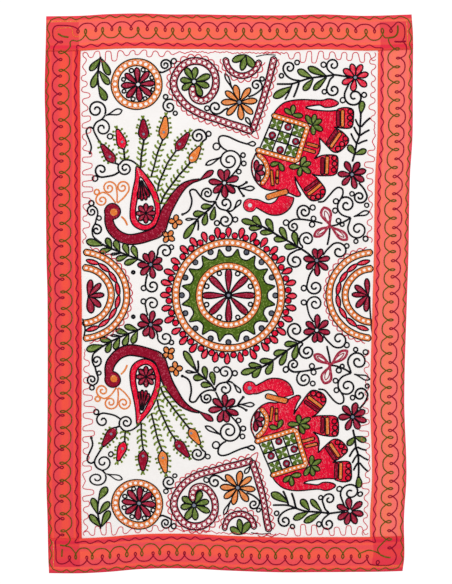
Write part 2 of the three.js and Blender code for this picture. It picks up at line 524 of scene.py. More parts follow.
@dataclass(frozen=True)
class BorderCotton:
    """Thin dyed cotton lawn: coral where single, deeper red where a hem doubles it, with lighter orange bands
    of painted highlight.
    """

    name: str
    body: str
    # The lighter orange of the painted highlight bands, also used for random mottle
    painted_highlight_and_mottle: str
    fold: str
    edge: str
    deep: str = "E0123C"
    surface: Surface = Surface(0.4, 0.1, 0.85, 0.2)

    def make(self, sizes: ClothSizes) -> bpy.types.Material:
        """Build the material.

        Args:
            sizes: The cloth's sizes, for the places of the hems.

        Returns:
            The material. Its bands follow the distance from the cloth's outer edge.
        """
        material, tree, shader = new_material(self.name)
        uv = add(tree, "UVMap", {"uv_map": "Cloth"})
        strip = add(tree, "UVMap", {"uv_map": "Strip"})
        parts = add(tree, "SeparateXYZ", Vector=strip.outputs[0])
        waver = add(tree, "TexNoise", Vector=uv.outputs[0], Scale=14.0, Detail=3.0)
        shift = math_node(tree, "MULTIPLY_ADD", waver, 5.0 * MM, -2.5 * MM)
        from_edge = math_node(tree, "ADD", parts.outputs[0], shift)
        share = math_node(tree, "DIVIDE", from_edge, sizes.strip * MM)
        # Bands from the outer edge in: deeper red on the doubled hems, orange at the inner edge, and lighter
        # orange bands of painted highlight between
        bands = ramp(tree, share, [
            (0.00, self.fold), (0.095, self.fold), (0.115, self.painted_highlight_and_mottle), (0.16, self.painted_highlight_and_mottle), (0.20, self.body),
            (0.34, self.body), (0.46, self.painted_highlight_and_mottle), (0.60, self.painted_highlight_and_mottle), (0.68, self.body), (0.76, self.body),
            (0.78, self.painted_highlight_and_mottle), (0.83, self.painted_highlight_and_mottle), (0.85, self.fold), (0.925, self.fold), (0.95, self.edge),
            (1.0, self.edge),
        ])
        # Random mottle between the body colour and the painted highlight colour
        cloud = add(tree, "TexNoise", Vector=uv.outputs[0], Scale=11.0, Detail=5.0, Roughness=0.65)
        clouded = ramp(tree, cloud, [(0.35, self.body), (0.65, self.painted_highlight_and_mottle)])
        blend = add(tree, "Mix", {"data_type": "RGBA"}, i0=0.28, i6=bands, i7=clouded)
        from_side = math_node(tree, "MULTIPLY_ADD", waver, 16.0 * MM, parts.outputs[1])
        beside = math_node(tree, "LESS_THAN", from_side, 96.0 * MM)
        below = math_node(tree, "GREATER_THAN", from_edge, 17.0 * MM)
        doubled = math_node(tree, "MULTIPLY", math_node(tree, "MULTIPLY", beside, below), 0.55)
        final = add(tree, "Mix", {"data_type": "RGBA"}, i0=doubled, i6=blend.outputs[2], i7=linear(self.deep))
        weave = woven(tree, uv.outputs[0], 1.2)
        self.surface.dress(tree, shader, final.outputs[2], weave)
        return material


@dataclass(frozen=True)
class ThreadYarn:
    """Thick dyed cotton yarn worked in chain stitch: matt, each row a shade of its own, loops nested."""

    name: str
    colour: str
    dark: str
    pale: str
    fleck_from: float = 0.83
    fleck: float = 0.32
    surface: Surface = Surface(0.5, 0.4, 0.85, 0.12)

    def make(self) -> bpy.types.Material:
        """Build the material. The Stitch map gives stitches along the row and the place across it.

        Returns:
            The material.
        """
        material, tree, shader = new_material(self.name)
        uv = add(tree, "UVMap", {"uv_map": "Stitch"})
        parts = add(tree, "SeparateXYZ", Vector=uv.outputs[0])
        side = math_node(tree, "ABSOLUTE", math_node(tree, "MULTIPLY_ADD", parts.outputs[1], 2.0, -1.0))
        loop = math_node(tree, "FRACT", math_node(tree, "MULTIPLY_ADD", side, 0.4, parts.outputs[0]))
        crease = math_node(tree, "PINGPONG", loop, 0.5)
        row = add(tree, "Attribute", {"attribute_name": "shade"})
        place = add(tree, "TexCoord").outputs["Object"]
        fuzz = add(tree, "TexNoise", Vector=place, Scale=420.0, Detail=3.0, Roughness=0.7)
        row_tone = math_node(tree, "MULTIPLY", row.outputs["Fac"], 0.5)
        tone = math_node(tree, "MULTIPLY_ADD", fuzz, 0.4, row_tone)
        stitch = math_node(tree, "FLOOR", math_node(tree, "MULTIPLY_ADD", side, 0.4, parts.outputs[0]))
        which = add(tree, "CombineXYZ", X=stitch, Y=row.outputs["Fac"])
        chance = add(tree, "TexWhiteNoise", Vector=which)
        fleck = math_node(tree, "GREATER_THAN", chance.outputs[0], self.fleck_from)
        tone = math_node(tree, "MULTIPLY_ADD", fleck, self.fleck, tone)
        colour = ramp(tree, tone, [(0.15, self.dark), (0.45, self.colour), (0.85, self.pale)])
        shadow = ramp(tree, crease, [(0.0, "9C9C9C"), (0.14, "FFFFFF")])
        mixing = {"data_type": "RGBA", "blend_type": "MULTIPLY"}
        final = add(tree, "Mix", mixing, i0=1.0, i6=colour, i7=shadow)
        height = math_node(tree, "ADD", math_node(tree, "MINIMUM", crease, 0.25), fuzz)
        self.surface.dress(tree, shader, final.outputs[2], height)
        return material


@dataclass(frozen=True)
class SilveredGlass:
    """Small hand-cut silvered glass: it mirrors the room, a little tarnished and uneven."""

    name: str
    # Its colour also paints in how dark or bright a reflection the mirror shows
    colour: str
    roughness: float

    def make(self) -> bpy.types.Material:
        """Build the material.

        Returns:
            The material.
        """
        material, tree, shader = new_material(self.name)
        place = add(tree, "TexCoord").outputs["Object"]
        haze = add(tree, "TexNoise", Vector=place, Scale=160.0, Detail=4.0)
        colour = ramp(tree, haze, [(0.3, self.colour), (0.8, "FFFFFF")])
        tint = add(tree, "Mix", {"data_type": "RGBA"}, i0=0.25, i6=linear(self.colour), i7=colour)
        dents = add(tree, "TexNoise", Vector=place, Scale=90.0, Detail=1.0)
        Surface(0.3, 0.3, self.roughness).dress(tree, shader, tint.outputs[2], dents)
        shader.inputs["Metallic"].default_value = 1.0
        return material


class Yarn(Enum):
    """The embroidery's thread colours. A value is the place of its material on a piece."""

    BLACK = 0
    CRIMSON = 1
    RED = 2
    ROSE = 3
    ORANGE = 4
    GREEN = 5
    LEAF = 6
    OLIVE = 7
    WINE = 8
    CHERRY = 9
    SPRING = 10


YARN_FINISHES = {
    Yarn.BLACK: ThreadYarn("blue_black_cotton_yarn", "0A0A12", "050509", "20202B"),
    Yarn.CRIMSON: ThreadYarn("crimson_cotton_yarn", "A80A30", "8C0526", "D0506C"),
    Yarn.RED: ThreadYarn("bright_red_cotton_yarn", "FF0A3E", "E60432", "FF7484"),
    Yarn.ROSE: ThreadYarn("rose_red_cotton_yarn", "E63A50", "CC2840", "F47C86"),
    Yarn.ORANGE: ThreadYarn("orange_cotton_yarn", "FF9040", "F47C2C", "FFC088"),
    Yarn.GREEN: ThreadYarn("grass_green_cotton_yarn", "5C7A22", "456412", "A6B860"),
    Yarn.LEAF: ThreadYarn("leaf_green_cotton_yarn", "5F7C26", "486414", "A4B66A"),
    Yarn.CHERRY: ThreadYarn("cherry_red_cotton_yarn", "B2183C", "960E2E", "E87A90"),
    Yarn.SPRING: ThreadYarn("spring_green_cotton_yarn", "7C962A", "64801A", "B2C468"),
    Yarn.OLIVE: ThreadYarn("olive_brown_cotton_yarn", "6E6414", "574E10", "85782A"),
    Yarn.WINE: ThreadYarn("wine_red_cotton_yarn", "A00634", "86032B", "B81C48"),
}


# Cloth pieces


def stations(places: Sequence[float], fine: float) -> Points:
    """Fill in places so that none are further apart than a fine step, and keep those given.

    Args:
        places: The places to keep, in order.
        fine: The largest step.

    Returns:
        All the places, in order.
    """
    filled = [float(places[0])]
    for low, high in zip(places, places[1:]):
        count = max(1, math.ceil((high - low) / fine))
        filled += [low + (high - low) * (i + 1) / count for i in range(count)]
    return np.array(filled)


@dataclass
class SewnSheet:
    """One sheet of cloth: a closed thin slab on a grid of places, between its back and its front."""

    name: str
    across: Points
    down: Points
    back: Callable[[Points, Points], Points]
    front: Callable[[Points, Points], Points]

    def build(self, cloth: Cloth, strip_place: Callable[[Points, Points], Points] | None) -> bpy.types.Object:
        """Build the sheet's mesh.

        Args:
            cloth: The cloth as it hangs.
            strip_place: Gives a strip's places on its Strip map. The ground has none.

        Returns:
            The new object, with a Cloth map in metres and, on a strip, a Strip map.
        """
        mesh_data = bmesh.new()
        columns, rows = len(self.across), len(self.down)
        bmesh.ops.create_grid(mesh_data, x_segments=columns - 1, y_segments=rows - 1, size=1.0)
        moved = bmesh.ops.extrude_face_region(mesh_data, geom=mesh_data.faces[:], use_keep_orig=True)
        fronts = [v for v in moved["geom"] if isinstance(v, bmesh.types.BMVert)]
        bmesh.ops.translate(mesh_data, verts=fronts, vec=(0.0, 0.0, 1.0))
        bmesh.ops.recalc_face_normals(mesh_data, faces=mesh_data.faces[:])
        mesh = bpy.data.meshes.new(self.name)
        mesh_data.to_mesh(mesh)
        mesh_data.free()
        spots = np.zeros(len(mesh.vertices) * 3, np.float32)
        mesh.vertices.foreach_get("co", spots)
        spots = spots.reshape(-1, 3)
        across = self.across[np.rint((spots[:, 0] + 1) / 2 * (columns - 1)).astype(int)]
        down = self.down[np.rint((1 - spots[:, 1]) / 2 * (rows - 1)).astype(int)]
        lift = np.where(spots[:, 2] > 0.5, self.front(across, down), self.back(across, down))
        mesh.vertices.foreach_set("co", cloth.hang(across, down, lift).astype(np.float32).ravel())
        corners = np.zeros(len(mesh.loops), np.int32)
        mesh.loops.foreach_get("vertex_index", corners)
        maps = {"Cloth": np.stack([across, down], axis=-1) * MM}
        if strip_place:
            maps["Strip"] = strip_place(across, down)
        for map_name, places in maps.items():
            layer = mesh.uv_layers.new(name=map_name)
            layer.data.foreach_set("uv", places[corners].astype(np.float32).ravel())
        mesh.polygons.foreach_set("use_smooth", np.ones(len(mesh.polygons), bool))
        mesh.update()
        made = new_object(self.name, mesh)
        return made


# Drawing helpers, all in the pattern's millimetres


def curve(points: Sequence[Sequence[float]], closed: bool = False, step: float = 2.5) -> Points:
    """Draw a smooth line through a few points.

    Args:
        points: The points.
        closed: Whether the line comes back to its start.
        step: The distance between the line's own points.

    Returns:
        The line. A closed one doesn't repeat its first point.
    """
    p = np.asarray(points, float)
    if closed:
        p = np.concatenate([p[-1:], p, p[:2]])
    else:
        p = np.concatenate([2 * p[:1] - p[1:2], p, 2 * p[-1:] - p[-2:-1]])
    line = []
    for a, b, c, d in zip(p, p[1:], p[2:], p[3:]):
        count = max(2, int(np.linalg.norm(c - b) / step))
        t = (np.arange(count) / count)[:, None]
        square, cube = 2 * a - 5 * b + 4 * c - d, 3 * b - a - 3 * c + d
        line.append(0.5 * (2 * b + (c - a) * t + square * t**2 + cube * t**3))
    if not closed:
        line.append(p[-2:-1])
    return np.concatenate(line)


def arc(centre: Sequence[float], radius: float, start: float, end: float, step: float = 2.5) -> Points:
    """Draw an arc, its angles in degrees anticlockwise from the right.

    Args:
        centre: Its centre.
        radius: Its radius.
        start: The angle that it starts at.
        end: The angle that it ends at.
        step: The distance between points.

    Returns:
        The arc's points.
    """
    count = max(6, int(abs(math.radians(end - start)) * radius / step))
    angle = np.radians(np.linspace(start, end, count + 1))
    return np.asarray(centre, float) + radius * np.stack([np.cos(angle), np.sin(angle)], axis=-1)


def ring(centre: Sequence[float], radius: float, step: float = 2.5) -> Points:
    """Draw a circle that doesn't repeat its first point."""
    return arc(centre, radius, 0, 360, step)[:-1]


def heading(degrees: float) -> Points:
    """The unit step in a direction, anticlockwise from the right."""
    return np.array([math.cos(math.radians(degrees)), math.sin(math.radians(degrees))])


def leftward(ahead: Points) -> Points:
    """The step to the left of another."""
    return np.array([-ahead[1], ahead[0]])


def distances(line: Points) -> Points:
    """How far along a line each of its points lies."""
    return np.concatenate([[0.0], np.cumsum(np.linalg.norm(np.diff(line, axis=0), axis=1))])


def spiral(centre: Sequence[float], radius: float, start: float, turns: float, step: float = 2.5) -> Points:
    """Draw a spiral from its outer end in.

    Args:
        centre: Its eye.
        radius: Its outer radius.
        start: The outer end's angle in degrees.
        turns: How many turns it makes, negative for clockwise.
        step: The distance between the line's points.

    Returns:
        The line.
    """
    count = max(10, int(abs(turns) * 2 * math.pi * radius * 0.6 / step))
    t = np.linspace(0, 1, count + 1)
    angle = math.radians(start) + t * turns * 2 * math.pi
    reach = radius * (1 - 0.86 * t**0.92)
    return np.asarray(centre, float) + reach[:, None] * np.stack([np.cos(angle), np.sin(angle)], axis=-1)


def offset(line: Points, by: float, closed: bool = False) -> Points:
    """Move a line sideways, to its left where the distance is positive."""
    return line + by * normals(line, closed)


def normals(line: Points, closed: bool) -> Points:
    """The unit normals of a line, to its left.

    Args:
        line: The line's points.
        closed: Whether it closes on itself.

    Returns:
        A normal for each point.
    """
    if closed:
        ahead = np.roll(line, -1, axis=0) - np.roll(line, 1, axis=0)
    else:
        ahead = np.gradient(line, axis=0)
    ahead /= np.maximum(np.linalg.norm(ahead, axis=1, keepdims=True), 1e-9)
    return np.stack([-ahead[:, 1], ahead[:, 0]], axis=-1)


def scalloped(path: Points, by: float, pitch: float, height: float, rng: np.random.Generator) -> Points:
    """Draw a line beside another, to its right, that bulges outwards in round bumps.

    Args:
        path: The other line.
        by: How far off the new line's bumps end.
        pitch: The length of a bump.
        height: How far a bump stands out.
        rng: Shifts the bumps and makes them uneven.

    Returns:
        The line.
    """
    beside = resample(offset(path, -by), 2.0, False)
    along = np.arange(len(beside)) * 2.0 + rng.uniform(0, pitch)
    uneven = 1 + 0.16 * np.sin(along / 31 + rng.uniform(0, 6))
    swing = height * uneven * np.abs(np.sin(along * math.pi / pitch + 0.5 * np.sin(along / 47))) ** 0.8
    return beside - normals(beside, False) * swing[:, None]


def resample(line: Points, spacing: float, closed: bool, even: bool = True, count: int = 0) -> Points:
    """Put points on a line at even steps.

    Args:
        line: The line.
        spacing: The distance wanted between points.
        closed: Whether it comes back to its start.
        even: Whether the number of steps has to be even.
        count: The number of steps, if it is already known.

    Returns:
        The new line.
    """
    path = np.concatenate([line, line[:1]]) if closed else line
    lengths = distances(path)
    count = count or max(6 if closed else 2, round(lengths[-1] / spacing))
    if even:
        count += count % 2
    at = np.linspace(0, lengths[-1], count + 1)
    if closed:
        at = at[:-1]
    return np.stack([np.interp(at, lengths, path[:, 0]), np.interp(at, lengths, path[:, 1])], axis=-1)


@dataclass(frozen=True)
class Petal:
    """A petal or leaf: a root, a direction and a length, widest at a share of the way."""

    root: Place | Points
    toward: float
    length: float
    width: float
    widest: float = 0.62
    blunt: float = 0.7

    def half_width(self, t: Points) -> Points:
        """Half the width at a share of the length."""
        power = math.log(0.5) / math.log(self.widest)
        return 0.5 * self.width * np.maximum(np.sin(math.pi * t**power), 0) ** self.blunt

    def place(self, t: Points, sideways: Points) -> Points:
        """Turn a share of the length and a distance sideways into places in the pattern."""
        ahead = heading(self.toward)
        return np.array(self.root) + np.outer(t * self.length, ahead) + np.outer(sideways, leftward(ahead))

    def outline(self, grow: float = 0.0) -> Points:
        """The closed outline, grown outwards by so much.

        Args:
            grow: How far it is grown.

        Returns:
            The outline's points.
        """
        t = (1 - np.cos(np.linspace(0, math.pi, 15))) / 2
        half = self.half_width(t)
        left = self.place(t, half)
        right = self.place(t[::-1][1:-1], -half[::-1][1:-1])
        line = np.concatenate([left, right])
        return offset(line, grow, closed=True) if grow else line

    def rows(self, spacing: float, margin: float) -> list[Points]:
        """The lengthwise rows that fill it, drawn together at both ends.

        Args:
            spacing: The distance between rows.
            margin: How far they stay inside the outline.

        Returns:
            Each row's points.
        """
        inner = self.width - 2 * margin
        count = max(1, round(inner / spacing))
        t = np.linspace(0.06, 0.96, 9)
        half = np.maximum(self.half_width(t) - margin, 0)
        shares = [0.0] if count == 1 else list(np.linspace(-1, 1, count))
        return [self.place(t, half * share * (1 - 0.5 / count)) for share in shares]


# Embroidery


@dataclass(frozen=True)
class Work:
    """How a line is worked: its width, how high its top and its sides lie, and its stitch length."""

    width: float = 3.0
    height: float = 1.2
    base: float = -0.1
    stitch: float = 4.5


OUTLINE = Work(5.6, 1.8)
EDGING = Work(4.9, 1.6)
THIN = Work(3.3, 1.2)
STEM = Work(6.0, 1.9)
FILLING = Work(3.5, 0.75)
ON_FILLING = Work(3.4, 1.45, base=0.55)
EDGING_ON_FILLING = Work(3.7, 1.9, base=0.6)
EYELET = Work(3.1, 0.95, stitch=5.0)
HOLDING = Work(3.6, 2.1, stitch=3.6)
BARB = Work(5.6, 1.6, stitch=5.0)
SCALLOP = Work(3.5, 1.2)
REVERSE = Work(1.9, 0.45, stitch=20.0)
BAND_EDGE = Work(3.9, 1.3)
BEAD_RING = Work(4.2, 2.1, stitch=3.6)
SHORTEST_ROW = 2.5
HALF_ROW = 1.2
# Rows lower than this are fillings, and one in so many of them shows on the back
LINE_HEIGHT = 1.15
FILLINGS_PER_BACK_ROW = 3
BACK_SHADE = 0.4


@dataclass
class Strand:
    """One row of stitches: its points in the pattern, its thread and how it is worked."""

    line: Points
    yarn: Yarn
    work: Work
    closed: bool = False
    shade: float | None = None


def hatch(outlines: Sequence[Points], degrees: float, spacing: float,
          rng: np.random.Generator) -> list[Points]:
    """Cover a closed shape with parallel rows.

    Args:
        outlines: The shape and any openings in it, none of which repeats its first point.
        degrees: The rows' direction.
        spacing: The distance between rows.
        rng: Shakes the rows' ends and places a little.

    Returns:
        The rows, each with two points.
    """
    ahead = heading(degrees)
    frame = np.stack([ahead, leftward(ahead)], axis=-1)
    p = np.concatenate([outline @ frame for outline in outlines])
    q = np.concatenate([np.roll(outline @ frame, -1, axis=0) for outline in outlines])
    rows = []
    low, high = p[:, 1].min() + spacing * 0.5, p[:, 1].max() - spacing * 0.3
    for level in np.arange(low, high, spacing):
        at = level + rng.uniform(-0.15, 0.15) * spacing
        crossing = (p[:, 1] > at) != (q[:, 1] > at)
        a, b = p[crossing], q[crossing]
        hits = np.sort(a[:, 0] + (at - a[:, 1]) * (b[:, 0] - a[:, 0]) / (b[:, 1] - a[:, 1]))
        for start, end in zip(hits[::2], hits[1::2]):
            if end - start > SHORTEST_ROW:
                ends = np.array([[start + rng.uniform(0, 1.2), at], [end - rng.uniform(0, 1.2), at]])
                rows.append(ends @ frame.T)
    return rows


def inside(points: Points, outline: Points) -> np.ndarray:
    """Tell which points lie inside a closed outline.

    Args:
        points: The points to test.
        outline: The outline's points.

    Returns:
        True for each point that lies inside.
    """
    a, b = outline, np.roll(outline, -1, axis=0)
    x, y = points[:, :1], points[:, 1:2]
    spans = (a[:, 1] > y) != (b[:, 1] > y)
    rise = np.where(b[:, 1] == a[:, 1], 1e-9, b[:, 1] - a[:, 1])
    return (spans & (x < a[:, 0] + (y - a[:, 1]) * (b[:, 0] - a[:, 0]) / rise)).sum(axis=1) % 2 == 1


def outside(line: Points, shape: Points) -> list[Points]:
    """Cut a closed line into the runs of it that lie outside a shape.

    Args:
        line: The closed line's points.
        shape: The shape's outline.

    Returns:
        Each run's points.
    """
    line = resample(line, 1.2, True)
    free = ~inside(line, shape)
    first = int(np.argmin(free))
    line, free = np.roll(line, -first, axis=0), np.roll(free, -first)
    cuts = np.flatnonzero(np.diff(free.astype(int))) + 1
    return [run for run, kept in zip(np.split(line, cuts), np.split(free, cuts)) if kept[0] and len(run) > 3]


@dataclass(frozen=True)
class Limb:
    """A shape that tapers along a line: rows of place right, place up and width."""

    sections: Sequence[tuple[float, float, float]]

    def line(self) -> Points:
        """The smooth middle line, with the width as its third column."""
        return curve(self.sections, step=2.0)

    def outline(self) -> Points:
        """The closed outline.

        Returns:
            The outline's points.
        """
        line = self.line()
        out = normals(line[:, :2], False) * line[:, 2:] / 2
        return np.concatenate([line[:, :2] + out, (line[:, :2] - out)[::-1]])

    def crosswise(self, spacing: float) -> list[Points]:
        """The short rows that fill it from side to side.

        Args:
            spacing: The distance between rows.

        Returns:
            Each row's two ends.
        """
        line = self.line()
        out = normals(line[:, :2], False)
        lengths = distances(line[:, :2])
        rows = []
        for at in np.arange(spacing / 2, lengths[-1], spacing):
            spot, lean = (np.array([np.interp(at, lengths, c) for c in table.T]) for table in (line, out))
            reach = spot[2] / 2 - HALF_ROW
            if reach > HALF_ROW:
                rows.append(np.array([spot[:2] - lean * reach, spot[:2] + lean * reach]))
        return rows


@dataclass(frozen=True)
class Twig:
    """A leafy twig: its stem's places, its leaves, its bare rods and its open drops.

    A leaf or drop is its root right and up, its direction, length and width. A rod has no width.
    """

    stem: Places
    leaves: Sequence[tuple[float, float, float, float, float]] = ()
    rods: Sequence[tuple[float, float, float, float]] = ()
    drops: Sequence[tuple[float, float, float, float, float]] = ()


@dataclass(frozen=True)
class Curl:
    """A tendril's curl: its eye, radius, outer end's direction and turns, and the places that lead in to it.

    A positive number of turns winds anticlockwise. Each of its rings is a place right and up and a radius.
    """

    eye: Place
    radius: float
    start: float
    turns: float
    lead: Places = ()
    rings: Sequence[tuple[float, float, float]] = ()


@dataclass
class Embroidery:
    """One piece of embroidery: all its strands, which become one joined mesh."""

    name: str
    cloth: Cloth
    seed: int
    lower: bool = False
    wobble: float = 0.9
    on_border: bool = False
    from_edges: bool = False
    strands: list[Strand] = field(default_factory=list)

    def __post_init__(self) -> None:
        """Seed the hand's unevenness."""
        self.rng = np.random.default_rng(self.seed)
        self.waves = self.rng.uniform(0, 2 * math.pi, (4, 2))

    def row(self, line: Points | Sequence[Points], yarn: Yarn = Yarn.BLACK, work: Work = OUTLINE,
            closed: bool = False,
            shade: float | None = None) -> None:
        """Work one row of stitches along a line."""
        self.strands.append(Strand(np.asarray(line, float), yarn, work, closed, shade))

    def edge(self, line: Points, work: Work = EDGING) -> None:
        """Work a closed black outline."""
        self.row(line, Yarn.BLACK, work, closed=True)

    def rows(self, lines: Sequence[Points], yarn: Yarn, work: Work = FILLING) -> None:
        """Work several open rows."""
        for line in lines:
            self.row(line, yarn, work)

    def edge_outside(self, line: Points, shape: Points, work: Work = EDGING) -> None:
        """Work the parts of a closed black line that lie outside a shape."""
        self.rows(outside(line, shape), Yarn.BLACK, work)

    def petal(self, petal: Petal, yarn: Yarn, fill: Work = FILLING, edge: Work = EDGING,
              pale: float = 0.85) -> None:
        """Work a petal or leaf: its rows, paler towards its middle, then its black outline.

        Args:
            petal: The petal or leaf.
            yarn: The filling's yarn.
            fill: How the filling is worked.
            edge: How the outline is worked.
            pale: How pale the inner rows are.
        """
        lines = petal.rows(2.35, 1.3)
        for i, line in enumerate(lines):
            inner = 0 < i < len(lines) - 1 or len(lines) < 3
            self.row(line, yarn, fill, shade=pale * self.rng.uniform(0.7, 1.1) if inner else None)
        self.edge(petal.outline(0.6), edge)

    def disc(self, centre: Sequence[float], radius: float, yarn: Yarn, edge: Work | None = EDGING,
             fill: Work = FILLING) -> None:
        """Work a filled round dot.

        Args:
            centre: Its centre.
            radius: Its radius.
            yarn: The filling's yarn.
            edge: How the black outline is worked, or None for no outline.
            fill: How the filling is worked.
        """
        reach = radius - 1.4
        while reach > 1.0:
            self.row(ring(centre, reach, 1.6), yarn, fill, closed=True)
            reach -= 2.35
        self.row([np.asarray(centre) - (0.6, 0.2), np.asarray(centre) + (0.6, 0.2)], yarn, fill)
        if edge:
            self.edge(ring(centre, radius, 2.0), edge)

    def knot(self, centre: Sequence[float], radius: float) -> None:
        """Work a black dot with no outline."""
        self.disc(centre, radius, Yarn.BLACK, edge=None)

    def loop(self, centre: Sequence[float], radius: float, yarn: Yarn = Yarn.BLACK) -> None:
        """Work a small open ring."""
        self.row(ring(centre, radius * self.rng.uniform(0.92, 1.06), 1.5), yarn, EDGING, closed=True)

    def drop(self, root: Sequence[float], toward: float, length: float, width: float) -> None:
        """Work an open teardrop."""
        shape = Petal(root, toward, length, width, 0.72, 0.9)
        self.edge(shape.outline())

    def mirror(self, centre: Sequence[float], diameter: float, yarn: Yarn = Yarn.BLACK,
               rounds: int = 1) -> None:
        """Work the ring that holds a mirror, and any further rounds about it.

        Args:
            centre: The mirror's centre.
            diameter: Its diameter.
            yarn: The rings' yarn.
            rounds: How many rings there are.
        """
        for i in range(rounds):
            work = HOLDING if i == 0 else FILLING
            self.row(ring(centre, diameter / 2 + 0.9 + 2.5 * i, 1.6), yarn, work, closed=True)

    def eyed_band(self, path: Points, width: float, yarn: Yarn, pitch: float, closed: bool = False,
                  airy: bool = False) -> None:
        """Work a band of thread rings with cloth showing in their eyes.

        Args:
            path: The band's middle line.
            width: Its width.
            yarn: Its thread.
            pitch: The distance between eyes, before it is fitted to the length.
            closed: Whether it comes back to its start.
            airy: Whether cloth also shows beside the rings; if not, short crosswise rows fill in.
        """
        half = width / 2
        edge = Work(2.4, 0.9) if airy else Work(3.0, 0.9)
        for side in (-1, 1):
            self.row(offset(path, side * (half - 0.6), closed), yarn, edge, closed)
            self.row(offset(path, side * (half + 1.7), closed), Yarn.BLACK, BAND_EDGE, closed)
        marks = resample(path, pitch, closed, even=False)
        lean = normals(marks, closed)
        ahead = np.roll(marks, -1, axis=0) if closed else marks[1:]
        count = len(ahead)
        eyes = (marks[:count] + ahead) / 2
        leans = (lean[:count] + (np.roll(lean, -1, axis=0) if closed else lean[1:])) / 2
        if not closed:
            for end, before in ((0, 2), (-1, -3)):
                low, high = (offset(path, side * (half + 1), closed)[end] for side in (-1, 1))
                last = path[end] - path[before]
                beyond = path[end] + 4.0 * last / np.linalg.norm(last)
                self.row(curve([low, beyond, high]), Yarn.BLACK, BAND_EDGE)
        angle = np.linspace(0, 2 * math.pi, 13)[:-1]
        reach_out = half - 1.6
        for eye, side in zip(eyes, leans):
            along = np.array([side[1], -side[0]]) * (pitch / 2 - 1.25) * self.rng.uniform(0.93, 1.04)
            out = side * min(reach_out, pitch / 2 - 1.3) * self.rng.uniform(0.95, 1.04)
            self.row(eye + np.outer(np.cos(angle), along) + np.outer(np.sin(angle), out), yarn, EYELET,
                     closed=True)
        between = Work(2.8 if airy else 4.0, 0.85)
        for mark, side in zip(marks, lean):
            self.row([mark - side * (half - 1.5), mark + side * (half - 1.5)], yarn, between)

    def flower(self, centre: Sequence[float], petals: Places, yarn: Yarn, width: float,
               mirror: float) -> None:
        """Work a flower: petals about a black middle that holds a mirror.

        Args:
            centre: Its middle.
            petals: Each petal's direction and how far from the middle it reaches.
            yarn: The petals' thread.
            width: A petal's width.
            mirror: The mirror's diameter, or 0 for none.
        """
        inner = max(mirror / 2, 1.5) + 0.5
        for toward, reach in petals:
            root = np.asarray(centre) + heading(toward) * inner
            wide = width * self.rng.uniform(0.88, 1.0)
            self.petal(Petal(root, toward, reach - inner, wide, 0.66, 0.62), yarn)
        if mirror:
            self.mirror(centre, mirror, rounds=2)
        else:
            self.knot(centre, 4.5)

    def curl(self, curl: Curl, yarn: Yarn = Yarn.BLACK, work: Work = OUTLINE) -> None:
        """Work a tendril that runs along a line and winds into a curl, and the small rings that touch it.

        Args:
            curl: The tendril.
            yarn: Its yarn.
            work: How it is worked.
        """
        winding = spiral(curl.eye, curl.radius, curl.start, curl.turns + math.copysign(0.3, curl.turns))
        if len(curl.lead):
            lead = curve([*curl.lead, winding[0], winding[2]])
            winding = np.concatenate([lead[:-1], winding[2:]])
        self.row(winding, yarn, work)
        self.row(winding[-3:], yarn, STEM)
        for right, up, radius in curl.rings:
            self.loop((right, up), radius, yarn)

    def twig(self, twig: Twig) -> None:
        """Work a leafy twig: its leaves, its bare rods and its stem.

        Args:
            twig: The twig.
        """
        for right, up, toward, length, width in twig.leaves:
            self.petal(Petal((right, up), toward, length, 0.92 * width, 0.68, 0.6), Yarn.LEAF)
        for right, up, toward, length, width in twig.drops:
            self.drop((right, up), toward, length, width)
        for right, up, toward, length in twig.rods:
            end = np.array((right, up)) + heading(toward) * length
            middle = (np.array((right, up)) + end) / 2 + heading(toward + 90) * 1.2
            self.row(curve([(right, up), middle, end]), Yarn.BLACK, STEM)
        self.row(curve(twig.stem), Yarn.BLACK, Work(6.2, 2.0))

    def shaken(self, plan: Points) -> Points:
        """Shift places as an uneven hand would, by the same smooth field for all that lies together.

        Args:
            plan: The places.

        Returns:
            The shifted places.
        """
        (a, b), (c, d), (e, f), (g, h) = self.waves
        x, y = plan[:, 0], plan[:, 1]
        right = np.sin(x / 31 + a) * np.cos(y / 23 + b) + 0.7 * np.sin(y / 11 + c) * np.cos(x / 13 + d)
        up = np.sin(y / 29 + e) * np.cos(x / 25 + f) + 0.7 * np.sin(x / 12 + g) * np.cos(y / 14 + h)
        return plan + 0.6 * self.wobble * np.stack([right, up], axis=-1)

    def build(self) -> list[bpy.types.Object]:
        """Make the stitches, and the thin threads that they leave on the cloth's back.

        Returns:
            Both objects, each with a material slot for each thread colour that it uses.
        """
        lines = [s for s in self.strands if s.work.height >= LINE_HEIGHT]
        fillings = [s for s in self.strands if s.work.height < LINE_HEIGHT and s.work is not EYELET]
        seen = [*lines, *fillings[::FILLINGS_PER_BACK_ROW]]
        behind = [Strand(s.line, s.yarn, REVERSE, s.closed, BACK_SHADE) for s in seen]
        return [self._join(self.strands, self.name), self._join(behind, self.name + "_back", True)]

